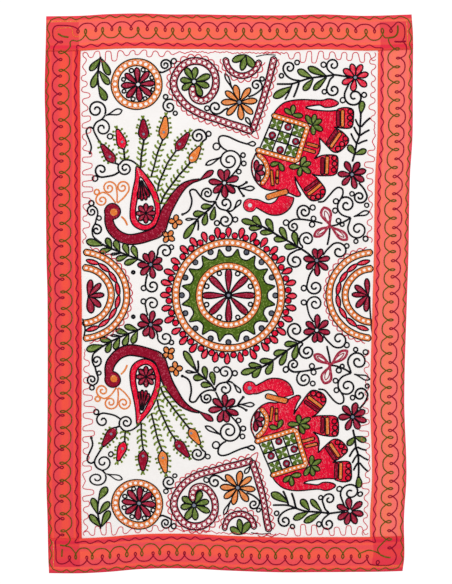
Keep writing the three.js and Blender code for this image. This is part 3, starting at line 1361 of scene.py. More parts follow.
    def _join(self, strands: list[Strand], name: str, behind: bool = False) -> bpy.types.Object:
        """Join strands into one mesh that lies on the cloth.

        Args:
            strands: The strands.
            name: The object's name.
            behind: Whether they lie on the cloth's back.

        Returns:
            The new object.
        """
        yarns = sorted({s.yarn for s in strands}, key=lambda y: y.value)
        plans, lifts, shades, quads, maps, slots, caps, cap_slots, undersides = ([] for _ in range(9))
        count = 0
        for strand in strands:
            work = strand.work
            line = resample(strand.line, work.stitch / 2, strand.closed, even=not behind)
            n = len(line)
            side = normals(line, strand.closed)
            swell = np.where(np.arange(n) % 2 == 0, 0.84, 1.12)
            if not strand.closed:
                swell[[0, -1]] = 0.55
            half = 0.5 * work.width * swell * self.rng.uniform(0.94, 1.06)
            left = line + side * half[:, None]
            right = line - side * half[:, None]
            plans.append(np.stack([left, line, right], axis=1).reshape(-1, 2))
            top = work.base + (work.height - work.base) * swell * self.rng.uniform(0.92, 1.08)
            foot = np.full(n, work.base)
            lifts.append(np.stack([foot, top, foot], axis=1).ravel())
            shade = self.rng.uniform(0.25, 0.55)
            shades.append(np.full(3 * n, shade if strand.shade is None else strand.shade))
            ends = np.arange(n if strand.closed else n - 1)
            here, there = 3 * ends, 3 * ((ends + 1) % n)
            u = np.stack([ends * 0.5, (ends + 1) * 0.5], axis=-1)
            for i, j, v, w in ((0, 1, 0.0, 0.5), (1, 2, 0.5, 1.0), (2, 0, 1.0, 0.0)):
                quads.append(count + np.stack([here + i, here + j, there + j, there + i], axis=-1))
                maps.append(np.stack([u[:, 0], np.full(len(u), v), u[:, 0], np.full(len(u), w),
                                      u[:, 1], np.full(len(u), w), u[:, 1], np.full(len(u), v)], axis=-1))
                slots.append(np.full(len(ends), yarns.index(strand.yarn)))
                undersides.append(np.full(len(ends), i == 2))
            if not strand.closed:
                last = count + 3 * (n - 1)
                caps.append([[count, count + 2, count + 1], [last, last + 1, last + 2]])
                cap_slots.append([yarns.index(strand.yarn)] * 2)
            count += 3 * n
        plan = self.shaken(np.concatenate(plans))
        if self.lower:
            plan = self.cloth.lower_half(plan)
        across, down = self.cloth.from_pattern(plan) if self.from_edges else self.cloth.measured(plan)
        lift = np.concatenate(lifts)
        if behind:
            lift = -lift
        elif self.on_border:
            lift = lift + self.cloth.strip_front(across, down)
        else:
            lift = lift + self.cloth.ground_front(across, down)
        faces, places, ends = np.concatenate(quads), np.concatenate(maps), np.array(caps).reshape(-1, 3)
        if self.lower != behind:
            faces, ends = faces[:, ::-1], ends[:, ::-1]
            places = places.reshape(-1, 4, 2)[:, ::-1].reshape(-1, 8)
        return self._mesh(name, self.cloth.hang(across, down, lift), faces, places, np.concatenate(slots),
                          np.concatenate(undersides), ends, np.array(cap_slots).ravel(),
                          np.concatenate(shades), yarns)

    def _mesh(self, name: str, points: Points, quads: Points, maps: Points, slots: Points, undersides: Points,
              caps: Points, cap_slots: Points, shades: Points, yarns: list[Yarn]) -> bpy.types.Object:
        """Turn the joined arrays into an object.

        Args:
            name: The object's name.
            points: The points, in metres.
            quads: Four points for each face along a strand.
            maps: Each face's four places on the Stitch map.
            slots: Each face's material.
            undersides: Which faces lie against the cloth.
            caps: Three points for each face that ends a strand.
            cap_slots: Their materials.
            shades: Each point's shade, from 0 to 1.
            yarns: The materials' thread colours.

        Returns:
            The object.
        """
        mesh = bpy.data.meshes.new(name)
        mesh.vertices.add(len(points))
        mesh.vertices.foreach_set("co", points.astype(np.float32).ravel())
        corners = np.concatenate([quads.ravel(), caps.ravel()]).astype(np.int32)
        starts = np.concatenate([np.arange(len(quads)) * 4, 4 * len(quads) + np.arange(len(caps)) * 3])
        mesh.loops.add(len(corners))
        mesh.loops.foreach_set("vertex_index", corners)
        mesh.polygons.add(len(starts))
        mesh.polygons.foreach_set("loop_start", starts.astype(np.int32))
        mesh.polygons.foreach_set("material_index", np.concatenate([slots, cap_slots]).astype(np.int32))
        mesh.polygons.foreach_set("use_smooth", np.ones(len(starts), bool))
        mesh.update(calc_edges=True)
        stitch = np.concatenate([maps.reshape(-1, 2), np.full((3 * len(caps), 2), 0.25)])
        mesh.uv_layers.new(name="Stitch").data.foreach_set("uv", stitch.astype(np.float32).ravel())
        flat = points[corners][:, [0, 2]]
        low, high = flat.min(axis=0), flat.max(axis=0)
        baked = 0.96 * (flat - low) / (high - low)
        hidden = np.concatenate([np.repeat(undersides, 4), np.ones(3 * len(caps), bool)])
        baked[hidden] = 0.97 + 0.03 * baked[hidden]
        mesh.uv_layers.new(name="OFBake").data.foreach_set("uv", baked.astype(np.float32).ravel())
        mesh.attributes.new("shade", "FLOAT", "POINT").data.foreach_set("value", shades.astype(np.float32))
        made = new_object(name, mesh)
        for yarn in yarns:
            mesh.materials.append(bpy.data.materials[YARN_FINISHES[yarn].name])
        return made


# The border's embroidery


@dataclass(frozen=True)
class Corner:
    """A corner of the border: which corner it is, and its lines' places in from its two edges, clockwise."""

    right: bool
    low: bool
    wine: Places
    olive: Places
    thick: Sequence[tuple[Yarn, float, Places]]
    wave: Place


@dataclass(frozen=True)
class BorderSide:
    """One side of the border: its start, its directions, and how its two looped rows are spaced.

    A row's spacing is its distance from the start, its distance from the end and its number of scallops.
    """

    start: Place
    along: Place
    inwards: Place
    length: float
    wine: tuple[float, float, int]
    olive: tuple[float, float, int]

    def place(self, points: Points) -> Points:
        """Turn distances along the side and in from the cloth's edge into places in the pattern."""
        return np.array(self.start) + np.outer(points[:, 0], self.along) + np.outer(points[:, 1],
                                                                                    self.inwards)


TOP_LEFT = Corner(
    False, False,
    [(22, 60), (18.5, 45), (20, 33), (27, 26), (40, 25), (60, 26), (76, 30)],
    [(58.6, 92), (66, 81.5), (65, 70), (72, 65), (84, 67.5), (97, 62)],
    [(Yarn.OLIVE, 5.2, [(32, 47), (45, 54), (61, 57)]),
     (Yarn.ORANGE, 2.4, [(29, 41), (33, 34), (64, 31), (70, 36), (72.6, 51), (81.5, 56), (89, 55)])],
    (84, 79),
)
TOP_RIGHT = Corner(
    True, False,
    [(50, 28), (38, 19), (24, 28), (21, 45), (23, 61), (27, 71), (19, 84), (18, 99), (23, 110)],
    [(76, 60), (66, 61), (66, 68), (61, 80), (52, 90)],
    [(Yarn.WINE, 5.0, [(50, 72), (35, 73), (19, 72)]),
     (Yarn.OLIVE, 5.0, [(66, 61), (50, 58.6), (41, 48), (39.5, 28)])],
    (81.5, 88),
)
BOTTOM_RIGHT = Corner(
    True, True,
    [(23, 43), (27, 24), (39.5, 17), (58, 16.5), (78, 18), (95, 22)],
    [(74, 62), (68, 47), (76, 52), (97, 58), (112, 54)],
    [(Yarn.OLIVE, 4.6, [(67.5, 46), (52, 40), (38, 38)]),
     (Yarn.WINE, 3.3, [(72, 18), (68, 26), (72.6, 30.6), (77, 26), (73, 18)])],
    (80, 80),
)
BOTTOM_LEFT = Corner(
    False, True,
    [(52, 30), (39.5, 25.5), (29, 27), (22, 36), (22, 56), (21, 75), (22, 89)],
    [(74, 56), (62, 70), (47, 74), (57, 80), (62, 94)],
    [(Yarn.OLIVE, 4.8, [(47, 74), (33, 76)]), (Yarn.OLIVE, 4.8, [(39.5, 66), (38, 44.6)])],
    (76, 83),
)


@dataclass
class BorderEmbroidery:
    """The border's lines: waves on both hems, and two rows of looped scallops that face each other."""

    cloth: Cloth
    wave: float = 34.0

    def sides(self) -> list[tuple[BorderSide, Corner]]:
        """The four sides clockwise from the top, each with the corner at its end.

        Returns:
            Each side and its corner.
        """
        s = self.cloth.sizes
        left, right = -s.half - s.middle_across, s.half - s.middle_across
        top, bottom = s.middle_down, s.middle_down - s.height
        wide, tall = s.width, s.height
        return [
            (BorderSide((left, top), (1, 0), (0, -1), wide, (86, 58.6, 18), (106, 81.5, 17)), TOP_RIGHT),
            (BorderSide((right, top), (0, -1), (-1, 0), tall, (116, 64, 29), (92, 87, 29)), BOTTOM_RIGHT),
            (BorderSide((right, bottom), (-1, 0), (0, 1), wide, (103, 59, 18), (123.6, 76, 17)), BOTTOM_LEFT),
            (BorderSide((left, bottom), (0, 1), (1, 0), tall, (103, 70, 29), (114, 97.5, 28)), TOP_LEFT),
        ]

    def turned(self, corner: Corner, points: Sequence[Sequence[float]]) -> Points:
        """Turn distances in from a corner's side edge and end edge into places in the pattern.

        Args:
            corner: The corner.
            points: The two distances of each place.

        Returns:
            The places.
        """
        s = self.cloth.sizes
        spots = np.array(points, float)
        if corner.right:
            across = s.half - s.middle_across - spots[:, 0]
        else:
            across = spots[:, 0] - s.half - s.middle_across
        up = s.middle_down - s.height + spots[:, 1] if corner.low else s.middle_down - spots[:, 1]
        return np.stack([across, up], axis=-1)

    def looped(self, rng: np.random.Generator, length: float, spacing: tuple[float, float, int], apex: float,
               meet: float, tip: float) -> Points:
        """Draw a row of scallops with a small loop at each of their ends.

        Args:
            rng: Makes each scallop a little different.
            length: The side's length.
            spacing: Where the row starts, how far from the side's end it stops and its number of scallops.
            apex: How far in the scallops' outer points lie.
            meet: How far in they meet.
            tip: How far in the loops' tips lie.

        Returns:
            Distances along the side and in from the edge.
        """
        start, end, count = spacing
        marks = np.linspace(start, length - end, count + 1)
        marks[1:-1] += rng.uniform(-3.0, 3.0, count - 1)
        toward = 1 if tip > meet else -1
        points = []
        for i, mark in enumerate(marks):
            reach = tip + rng.uniform(-1.5, 1.5)
            wide = rng.uniform(2.4, 3.6)
            points += [(mark + 1.2, meet + toward * 2.0), (mark + wide, (meet + reach) / 2 + toward * 1.5)]
            points += [(mark, reach), (mark - wide, (meet + reach) / 2 + toward * 1.5)]
            points += [(mark - 1.2, meet + toward * 2.0)]
            if i < count:
                span = marks[i + 1] - mark
                top = apex + rng.uniform(-1.8, 1.8)
                for share, rise in ((0.10, 0.42), (0.26, 0.86), (0.50, 1.0), (0.74, 0.86), (0.90, 0.42)):
                    points.append((mark + span * share, meet + (top - meet) * rise))
        return np.array(points)

    def waved(self, rng: np.random.Generator, start: float, end: float, at: float, size: float) -> Points:
        """Draw a wavy line along a side: distances along it and in from the edge.

        Args:
            rng: The random draws.
            start: Where it starts along the side.
            end: Where it ends.
            at: How far in from the edge its middle lies.
            size: How far it swings out and in.

        Returns:
            The line's points.
        """
        count = round((end - start) / self.wave) * 2
        along = np.linspace(start, end, count + 1)
        along[1:-1] += rng.uniform(-4, 4, count - 1)
        swing = at + np.where(np.arange(count + 1) % 2 == 0, size, -size) * rng.uniform(0.75, 1.15, count + 1)
        return np.stack([along, swing], axis=-1)

    def build(self) -> list[bpy.types.Object]:
        """Work the whole border: each line is one closed round.

        Returns:
            The stitches on the front and the threads on the back.
        """
        piece = Embroidery("embroidery_border", self.cloth, 100, wobble=0.8, on_border=True, from_edges=True)
        rng = piece.rng
        lines: dict[str, list[Points]] = {"wine": [], "olive": [], "outer": [], "inner": []}
        strip = self.cloth.sizes.strip
        for side, corner in self.sides():
            lines["wine"].append(side.place(self.looped(rng, side.length, side.wine, 21.5, 35, 46.5)))
            lines["wine"].append(self.turned(corner, corner.wine))
            lines["olive"].append(side.place(self.looped(rng, side.length, side.olive, 66, 50.5, 35.5)))
            lines["olive"].append(self.turned(corner, corner.olive))
            lines["outer"].append(side.place(self.waved(rng, 14, side.length - 14, 7.0, 3.4)))
            lines["inner"].append(side.place(self.waved(rng, strip + 8, side.length - strip - 8, 82.0, 3.7)))
            lines["inner"].append(self.turned(corner, [corner.wave]))
            for yarn, width, path in corner.thick:
                piece.row(self.turned(corner, curve(path, step=2.0)), yarn, Work(width, 1.5))
            light = np.array([(15, 15), (40, 14.2), (64, 14.8), (87, 14.2)])
            piece.row(curve(side.place(light)), Yarn.ORANGE, Work(2.4, 1.0))
        looped = Work(3.5, 1.4)
        for name, yarn, work in (("wine", Yarn.WINE, looped), ("olive", Yarn.OLIVE, looped),
                                 ("outer", Yarn.OLIVE, Work(3.2, 1.3)), ("inner", Yarn.WINE, Work(3.4, 1.4))):
            piece.row(curve(np.concatenate(lines[name]), closed=True, step=2.0), yarn, work, closed=True)
        return piece.build()


# The field's motifs


@dataclass
class Medallion:
    """The ringed medallion in the middle: petals, eyed bands, a toothed green ring and a fringe of beads."""

    cloth: Cloth
    petals: int = 8
    teeth: int = 16
    fringe: int = 32

    def build(self) -> list[bpy.types.Object]:
        """Work the medallion.

        Returns:
            The stitches on the front and the threads on the back.
        """
        piece = Embroidery("embroidery_medallion", self.cloth, 7, wobble=0.7)
        centre = (0.0, 0.0)
        for i in range(self.petals):
            toward = 90 + 360 * i / self.petals
            root = heading(toward) * 9
            length = 62.5 * piece.rng.uniform(0.97, 1.0)
            piece.petal(Petal(root, toward, length, 15.0, 0.72, 0.36), Yarn.CRIMSON, pale=0.7)
            piece.loop(heading(toward + 22.5) * 64, 6.0)
        piece.mirror(centre, 8.0, rounds=3)
        piece.eyed_band(ring(centre, 80.0), 14.5, Yarn.ORANGE, 14.0, closed=True)
        self.toothed_ring(piece, 90.0, 104.0, 126.0)
        for i in range(self.teeth):
            spot = heading(90 + 360 * i / self.teeth) * 126.0
            piece.edge(ring(spot, 6.7, 1.8), BEAD_RING)
        piece.eyed_band(ring(centre, 142.5), 15.5, Yarn.ORANGE, 14.6, closed=True)
        for i in range(self.fringe):
            toward = 90 + 360 * i / self.fringe + piece.rng.uniform(-1, 1)
            root = heading(toward) * 156
            bend = toward + piece.rng.uniform(-7, 7)
            length = 28 * piece.rng.uniform(0.94, 1.05)
            piece.petal(Petal(root, bend, length, 14.0, 0.64, 0.62), Yarn.RED)
            piece.disc(heading(toward + 180 / self.fringe) * 161.5, 7.5, Yarn.RED)
        return piece.build()

    def toothed_ring(self, piece: Embroidery, inner: float, valley: float, tip: float) -> None:
        """Work the green ring: its round rows first, then the rows that fill its teeth.

        Args:
            piece: The embroidery.
            inner: Its inner radius.
            valley: The radius between teeth.
            tip: The radius of the teeth's tips.
        """
        step = 360 / self.teeth
        flank = np.array([(valley, 0.0), (valley + 3, step * 0.24), (valley + 12, step * 0.37),
                          (tip, step * 0.48)])
        for reach in np.arange(inner, tip - 2, 2.3):
            if reach < valley:
                piece.row(ring((0, 0), reach), Yarn.GREEN, FILLING, closed=True)
                continue
            half = step / 2 - np.interp(reach, flank[:, 0], flank[:, 1])
            for i in range(self.teeth):
                middle = 90 + step * (i + 0.5)
                if math.radians(2 * half) * reach > 3:
                    piece.row(arc((0, 0), reach, middle - half, middle + half, 2.0), Yarn.GREEN, FILLING)
        edge = []
        for i in range(self.teeth):
            valley_at = 90 + step * i
            reach = piece.rng.uniform(-1.5, 1.5)
            edge += [heading(valley_at - turn) * distance for distance, turn in flank[:0:-1]]
            edge += [heading(valley_at) * valley]
            edge += [heading(valley_at + turn) * (distance + reach) for distance, turn in flank[1:]]
        piece.edge(curve(edge, closed=True, step=2.0))


@dataclass
class HalfMedallion:
    """A half medallion against one side of the border."""

    cloth: Cloth
    name: str
    centre: Place
    radius: float
    inner: float
    squash: float
    turns: Place
    root: Place
    fan: Sequence[tuple[float, float, float]]
    closing: Sequence[Places]
    lozenges: int = 8

    def oval(self, radius: float, turn: float = 0.0) -> Points:
        """A half oval about the centre, its ends drawn in by so many degrees."""
        line = arc((0.0, 0.0), radius, self.turns[0] + turn, self.turns[1] - turn)
        return np.asarray(self.centre) + line * (1.0, self.squash)

    def build(self) -> list[bpy.types.Object]:
        """Work the half medallion: eyed bands, a chain of lozenges, a fan of petals and a scalloped line.

        Returns:
            The stitches on the front and the threads on the back.
        """
        piece = Embroidery("embroidery_half_medallion_" + self.name, self.cloth, 20 + len(self.name),
                           wobble=0.9)
        piece.eyed_band(self.oval(self.radius - 7.5), 13.2, Yarn.ORANGE, 14.5)
        piece.eyed_band(self.oval(self.inner - 7.0), 13.5, Yarn.ORANGE, 14.0)
        middle = self.oval((self.radius - 15 + self.inner) / 2, 3.0)
        spots = resample(middle, 1.0, False, even=False, count=self.lozenges)
        for a, b in zip(spots, spots[1:]):
            toward = math.degrees(math.atan2(b[1] - a[1], b[0] - a[0]))
            piece.petal(Petal(a, toward, float(np.linalg.norm(b - a)), 10.5, 0.5, 0.75), Yarn.RED)
        for toward, length, width in self.fan:
            piece.petal(Petal(self.root, toward, length, width, 0.68, 0.55), Yarn.CRIMSON)
        edge = self.oval(self.radius + 1.0, 5.0)
        piece.row(scalloped(edge, 0.5, 20.0, 7.5, piece.rng), Yarn.ROSE, SCALLOP)
        for line in self.closing:
            piece.row(curve(line), Yarn.BLACK, EDGING)
        return piece.build()


LEFT_FAN = ((83, 44, 14), (47, 46, 13), (5, 40, 11.5), (-41, 42, 13.5), (-81, 45, 18))
RIGHT_FAN = ((93, 44, 12), (143, 42, 13), (178, 41, 11.5), (227, 45, 13.5), (264, 44, 13))


@dataclass
class Rosette:
    """The orange ringed rosette with a crimson flower in it."""

    ring_centre: Place = (-248.0, 570.5)
    flower_centre: Place = (-244.0, 569.0)

    def work(self, piece: Embroidery) -> None:
        """Work it on a piece.

        Args:
            piece: The piece that it is worked on.
        """
        piece.eyed_band(ring(self.ring_centre, 59.2), 16.0, Yarn.ORANGE, 15.0, closed=True)
        piece.flower(self.flower_centre, [(95 + 45 * i, 45) for i in range(8)], Yarn.CRIMSON, 15.5, 9.0)
        for i in range(8):
            piece.loop(np.asarray(self.flower_centre) + heading(71 + 45 * i) * 42, 5.4)


@dataclass
class Heart:
    """The heart of eyed crimson bands, with its scalloped rose line, flowers, curls and teardrops."""

    left: Places = (
        (-97, 564), (-98, 546), (-90, 531), (-72, 525), (-52, 534), (-38, 554), (-34, 576), (-37, 596),
        (-48, 615),
        (-68, 629), (-94, 633), (-118, 625), (-137, 605), (-147, 584), (-148, 566), (-141, 546), (-127, 526),
        (-110, 510), (-86, 495), (-58, 483), (-26, 473), (3, 463), (33, 454), (64, 443),
    )
    right: Places = (
        (66, 446), (71, 462), (80, 488), (92, 526), (103, 562), (113, 600), (123, 640),
    )
    hook: tuple[float, float, float] = (37.5, 638.0, 45.0)
    green_petals: Places = (
        (84, 38), (121, 43), (22, 45), (172, 36), (215, 38), (-62, 43), (-18, 42),
    )

    def work(self, piece: Embroidery) -> None:
        """Work it on a piece.

        Args:
            piece: The piece that it is worked on.
        """
        rng = piece.rng
        left, right = curve(self.left), curve(self.right)
        x, y, radius = self.hook
        hook = arc((x, y), radius, 180, 352)
        skipped = int(len(left) * 0.24)
        for path, by in ((left[skipped:], 10.5), (right, 9.5), (hook, 9.0)):
            piece.row(scalloped(path, by, 19.5, 8.5, rng), Yarn.ROSE, SCALLOP)
        piece.row(curve([(60, 436), (66, 428), (80, 422), (79, 434), (74, 448)]), Yarn.ROSE, SCALLOP)
        piece.row(curve([(74, 645), (100, 649), (128, 648)]), Yarn.BLACK, THIN)
        piece.row(curve([(92, 652), (103, 657), (117, 653), (131, 657), (142, 649)]), Yarn.ROSE, SCALLOP)
        piece.eyed_band(left, 15.5, Yarn.CHERRY, 15.0, airy=True)
        piece.eyed_band(right, 13.5, Yarn.CHERRY, 15.0, airy=True)
        piece.eyed_band(hook, 12.5, Yarn.CHERRY, 15.0, airy=True)
        piece.flower((-93.0, 577.0), self.green_petals, Yarn.LEAF, 16.0, 9.0)
        for turn, length, width in ((204, 39, 16), (255, 41, 15), (304, 38, 18)):
            piece.petal(Petal((47.0, 648.5), turn, length, width, 0.62, 0.6), Yarn.LEAF)
        piece.drop((11.6, 555.0), 116.0, 48.0, 9.0)
        piece.drop((64.0, 455.0), 124.0, 30.0, 10.0)
        piece.curl(Curl((74.8, 566.8), 17, -39, 1.16, [(52.5, 535), (69.6, 542)], [(90.6, 584, 5.5)]))
        piece.curl(Curl((-34, 508), 20.5, 319, -1.14, [(-1, 505), (-11, 500.5)], [(-58, 505, 7)]))
        petals = [(turn, 47) for turn in (104, 53, 5, -41, -82, -134, 180, 141)]
        piece.flower((29.0, 521.0), petals, Yarn.ORANGE, 15.5, 9.0)


@dataclass(frozen=True)
class FeatherHead(Petal):
    """A feather's head: pointed at its root, broadest near it, and drawn in to a blunt tip."""

    def half_width(self, t: Points) -> Points:
        """Half the width at a share of the length.

        Args:
            t: Shares of the length, from its root.

        Returns:
            Half the width at each.
        """
        shares = (0.0, 0.06, 0.18, 0.30, 0.42, 0.60, 0.80, 0.94, 1.0)
        widths = (0.06, 0.34, 0.82, 1.0, 0.96, 0.76, 0.50, 0.36, 0.10)
        return 0.5 * self.width * np.interp(t, shares, widths)


@dataclass(frozen=True)
class Feather:
    """A feather: its head's root, direction, length, width and thread, its mirror and its stalk's places."""

    root: Place
    toward: float
    length: float
    width: float
    yarn: Yarn
    mirror: Place
    stalk: Places

    def head(self) -> Petal:
        """The head's shape."""
        return FeatherHead(self.root, self.toward, self.length, self.width)


FEATHERS = (
    Feather((-307, 357), 126, 62, 24.5, Yarn.CRIMSON, (-320, 374), ((-307, 357), (-295, 352))),
    Feather((-282, 395), 109, 56, 24.5, Yarn.RED, (-287, 414), ((-282, 395), (-281, 369), (-280, 366))),
    Feather((-228, 419), 92.6, 57, 26, Yarn.CRIMSON, (-229, 435), ((-228, 419), (-234.5, 382), (-237, 345))),
    Feather((-178, 420), 82, 64, 24.5, Yarn.ORANGE, (-175, 440),
            ((-178, 420), (-192, 382), (-202, 343), (-209, 318))),
    Feather((-141.5, 391), 54, 59, 24.5, Yarn.CRIMSON, (-132, 408),
            ((-141.5, 391), (-161, 361), (-179, 323), (-188, 302), (-192, 280))),
    Feather((-104, 358), 58, 51.6, 23, Yarn.ORANGE, (-100, 371),
            ((-104, 358), (-120, 339), (-138, 318), (-158, 292), (-176, 266), (-183, 246))),
)


@dataclass
class Peacock:
    """The peacock: a long crimson neck and tail, a red paisley body and six feathers with green barbs."""

    neck: Limb = Limb((
        (-321, 222, 22), (-322.5, 208, 21.5), (-321, 194, 23), (-314, 178, 25), (-297, 161, 26),
        (-270, 151, 27),
        (-240, 154, 27), (-210, 163, 28), (-187, 175, 30), (-176, 203, 28), (-165, 232, 27), (-147, 263, 23),
        (-125, 291, 17), (-100, 307, 9), (-78, 313, 4),
    ))
    paisley: Places = (
        (-249, 347), (-252, 312), (-259, 275), (-265, 234), (-265, 206), (-255, 187), (-233, 176),
        (-211, 180),
        (-192, 197), (-185, 224), (-187, 254), (-199, 288), (-217, 317), (-235, 338),
    )
    opening: Places = (
        (-240, 318), (-242, 290), (-247, 258), (-251, 230), (-249, 207), (-239, 194), (-223, 189),
        (-208, 196),
        (-199, 214), (-198, 240), (-205, 266), (-218, 292), (-231, 315),
    )
    head_centre: Place = (-313.0, 227.0)
    head_radius: float = 20.7

    def barbs(self, piece: Embroidery, line: Points) -> None:
        """Work hooked green barbs along both sides of a stalk, from its foot up.

        Args:
            piece: The piece that they are worked on.
            line: The stalk's points, from its foot.
        """
        spots = resample(line, 15.0, False, even=False)
        sides = normals(spots, False)
        for spot, lean_left in zip(spots[:-1], sides[:-1]):
            step = np.array([lean_left[1], -lean_left[0]])
            for lean in (lean_left, -lean_left):
                foot = spot + lean + step * piece.rng.uniform(0.0, 5.0)
                tip = foot + lean * piece.rng.uniform(9.0, 12.5) + step * piece.rng.uniform(2.5, 6.5)
                end = tip + step * 4.0 - lean * piece.rng.uniform(-0.5, 2.0)
                piece.row(curve([foot, (foot + tip) / 2 - step, tip, end], step=1.5), Yarn.SPRING, BARB)

    def buds(self, piece: Embroidery, head: Petal) -> None:
        """Work short green barbs that end in small rings round a feather's head, and two at its tip.

        Args:
            piece: The piece that they are worked on.
            head: The feather's head.
        """
        ahead = heading(head.toward)
        left = leftward(ahead)
        for share in np.linspace(0.08, 0.9, max(4, round(head.length / 12.0))):
            for side in (-1, 1):
                at = np.array([share + piece.rng.uniform(-0.05, 0.05)])
                foot = head.place(at, side * head.half_width(at))[0]
                out = left * side + ahead * piece.rng.uniform(0.1, 0.7)
                piece.row([foot + out, foot + out * 5.0], Yarn.SPRING, Work(4.4, 1.5, stitch=5.0))
                piece.row(ring(foot + out * 7.2, 1.9, 1.2), Yarn.SPRING, Work(3.4, 1.5, stitch=3.2),
                          closed=True)
        tip = np.asarray(head.root) + ahead * (head.length + 1.0)
        for side in (-1, 1):
            end = tip + ahead * piece.rng.uniform(9, 12) + left * side * piece.rng.uniform(2.0, 5.0)
            piece.row([tip, end], Yarn.SPRING, BARB)

    def head_and_neck(self, piece: Embroidery) -> None:
        """Work the neck, the head, the eye, the beak and the crest.

        Args:
            piece: The piece that they are worked on.
        """
        neck, head = self.neck.outline(), ring(self.head_centre, self.head_radius)
        piece.rows(self.neck.crosswise(2.3), Yarn.CRIMSON)
        piece.disc(self.head_centre, self.head_radius, Yarn.CRIMSON, edge=None)
        piece.edge_outside(neck, ring(self.head_centre, self.head_radius - 0.5))
        piece.edge_outside(head, offset(neck, -0.5, closed=True))
        piece.disc((-309.5, 225.0), 9.5, Yarn.ORANGE, edge=None, fill=ON_FILLING)
        piece.row(curve([(-290, 213), (-280, 203), (-273, 189)]), Yarn.ORANGE, Work(5.5, 1.7))
        for curl in (
            Curl((-342, 257), 18, 117, 1.2, [(-304, 249), (-321, 269), (-338, 278)], [(-356, 279, 6.5)]),
            Curl((-322, 289.5), 20, -7, 1.35, [(-301, 251), (-300, 269)]),
            Curl((-286, 291), 19, -23, 1.25, [(-300, 249), (-284, 262), (-272, 277)]),
        ):
            piece.curl(curl, Yarn.ORANGE, Work(4.8, 1.7))

    def body(self, piece: Embroidery) -> None:
        """Work the paisley body, its long petals and its flower.

        Args:
            piece: The piece that it is worked on.
        """
        outer, opening = curve(self.paisley, closed=True), curve(self.opening, closed=True)
        rounds = [resample(path, 1.0, True, count=180) for path in (outer, opening)]
        for share in np.linspace(0.14, 0.86, 6):
            piece.row(rounds[0] * (1 - share) + rounds[1] * share, Yarn.RED, FILLING, closed=True)
        piece.edge(outer)
        piece.edge(opening)
        for i, (turn, length) in enumerate(((263, 50), (272, 54), (283, 54), (293, 48))):
            piece.petal(Petal((-236.5 + i, 310.0), turn, length, 9.5, 0.8, 0.7), Yarn.CRIMSON, pale=0.5)
        piece.flower((-223.0, 221.0), [(90 + 45 * i, 26) for i in range(8)], Yarn.CRIMSON, 11.5, 0.0)

    def work(self, piece: Embroidery) -> None:
        """Work it on a piece.

        Args:
            piece: The piece that it is worked on.
        """
        for feather in FEATHERS:
            stalk, head = curve(feather.stalk)[::-1], feather.head()
            if len(stalk) > 8:
                self.barbs(piece, stalk)
            self.buds(piece, head)
            piece.rows(head.rows(2.3, 1.2), feather.yarn)
            piece.edge(head.outline(0.5))
            piece.row(stalk, Yarn.BLACK, STEM)
            piece.mirror(feather.mirror, 7.0, feather.yarn)
        piece.row(curve([(-295, 353), (-289, 361), (-280, 366), (-264, 364), (-251, 356), (-236, 343)]))
        self.body(piece)
        piece.petal(Petal((-78.0, 311.5), 34.0, 44.0, 14.0, 0.68, 0.8), Yarn.CRIMSON)
        self.head_and_neck(piece)


Bar = tuple[Yarn, Place, Place, float]


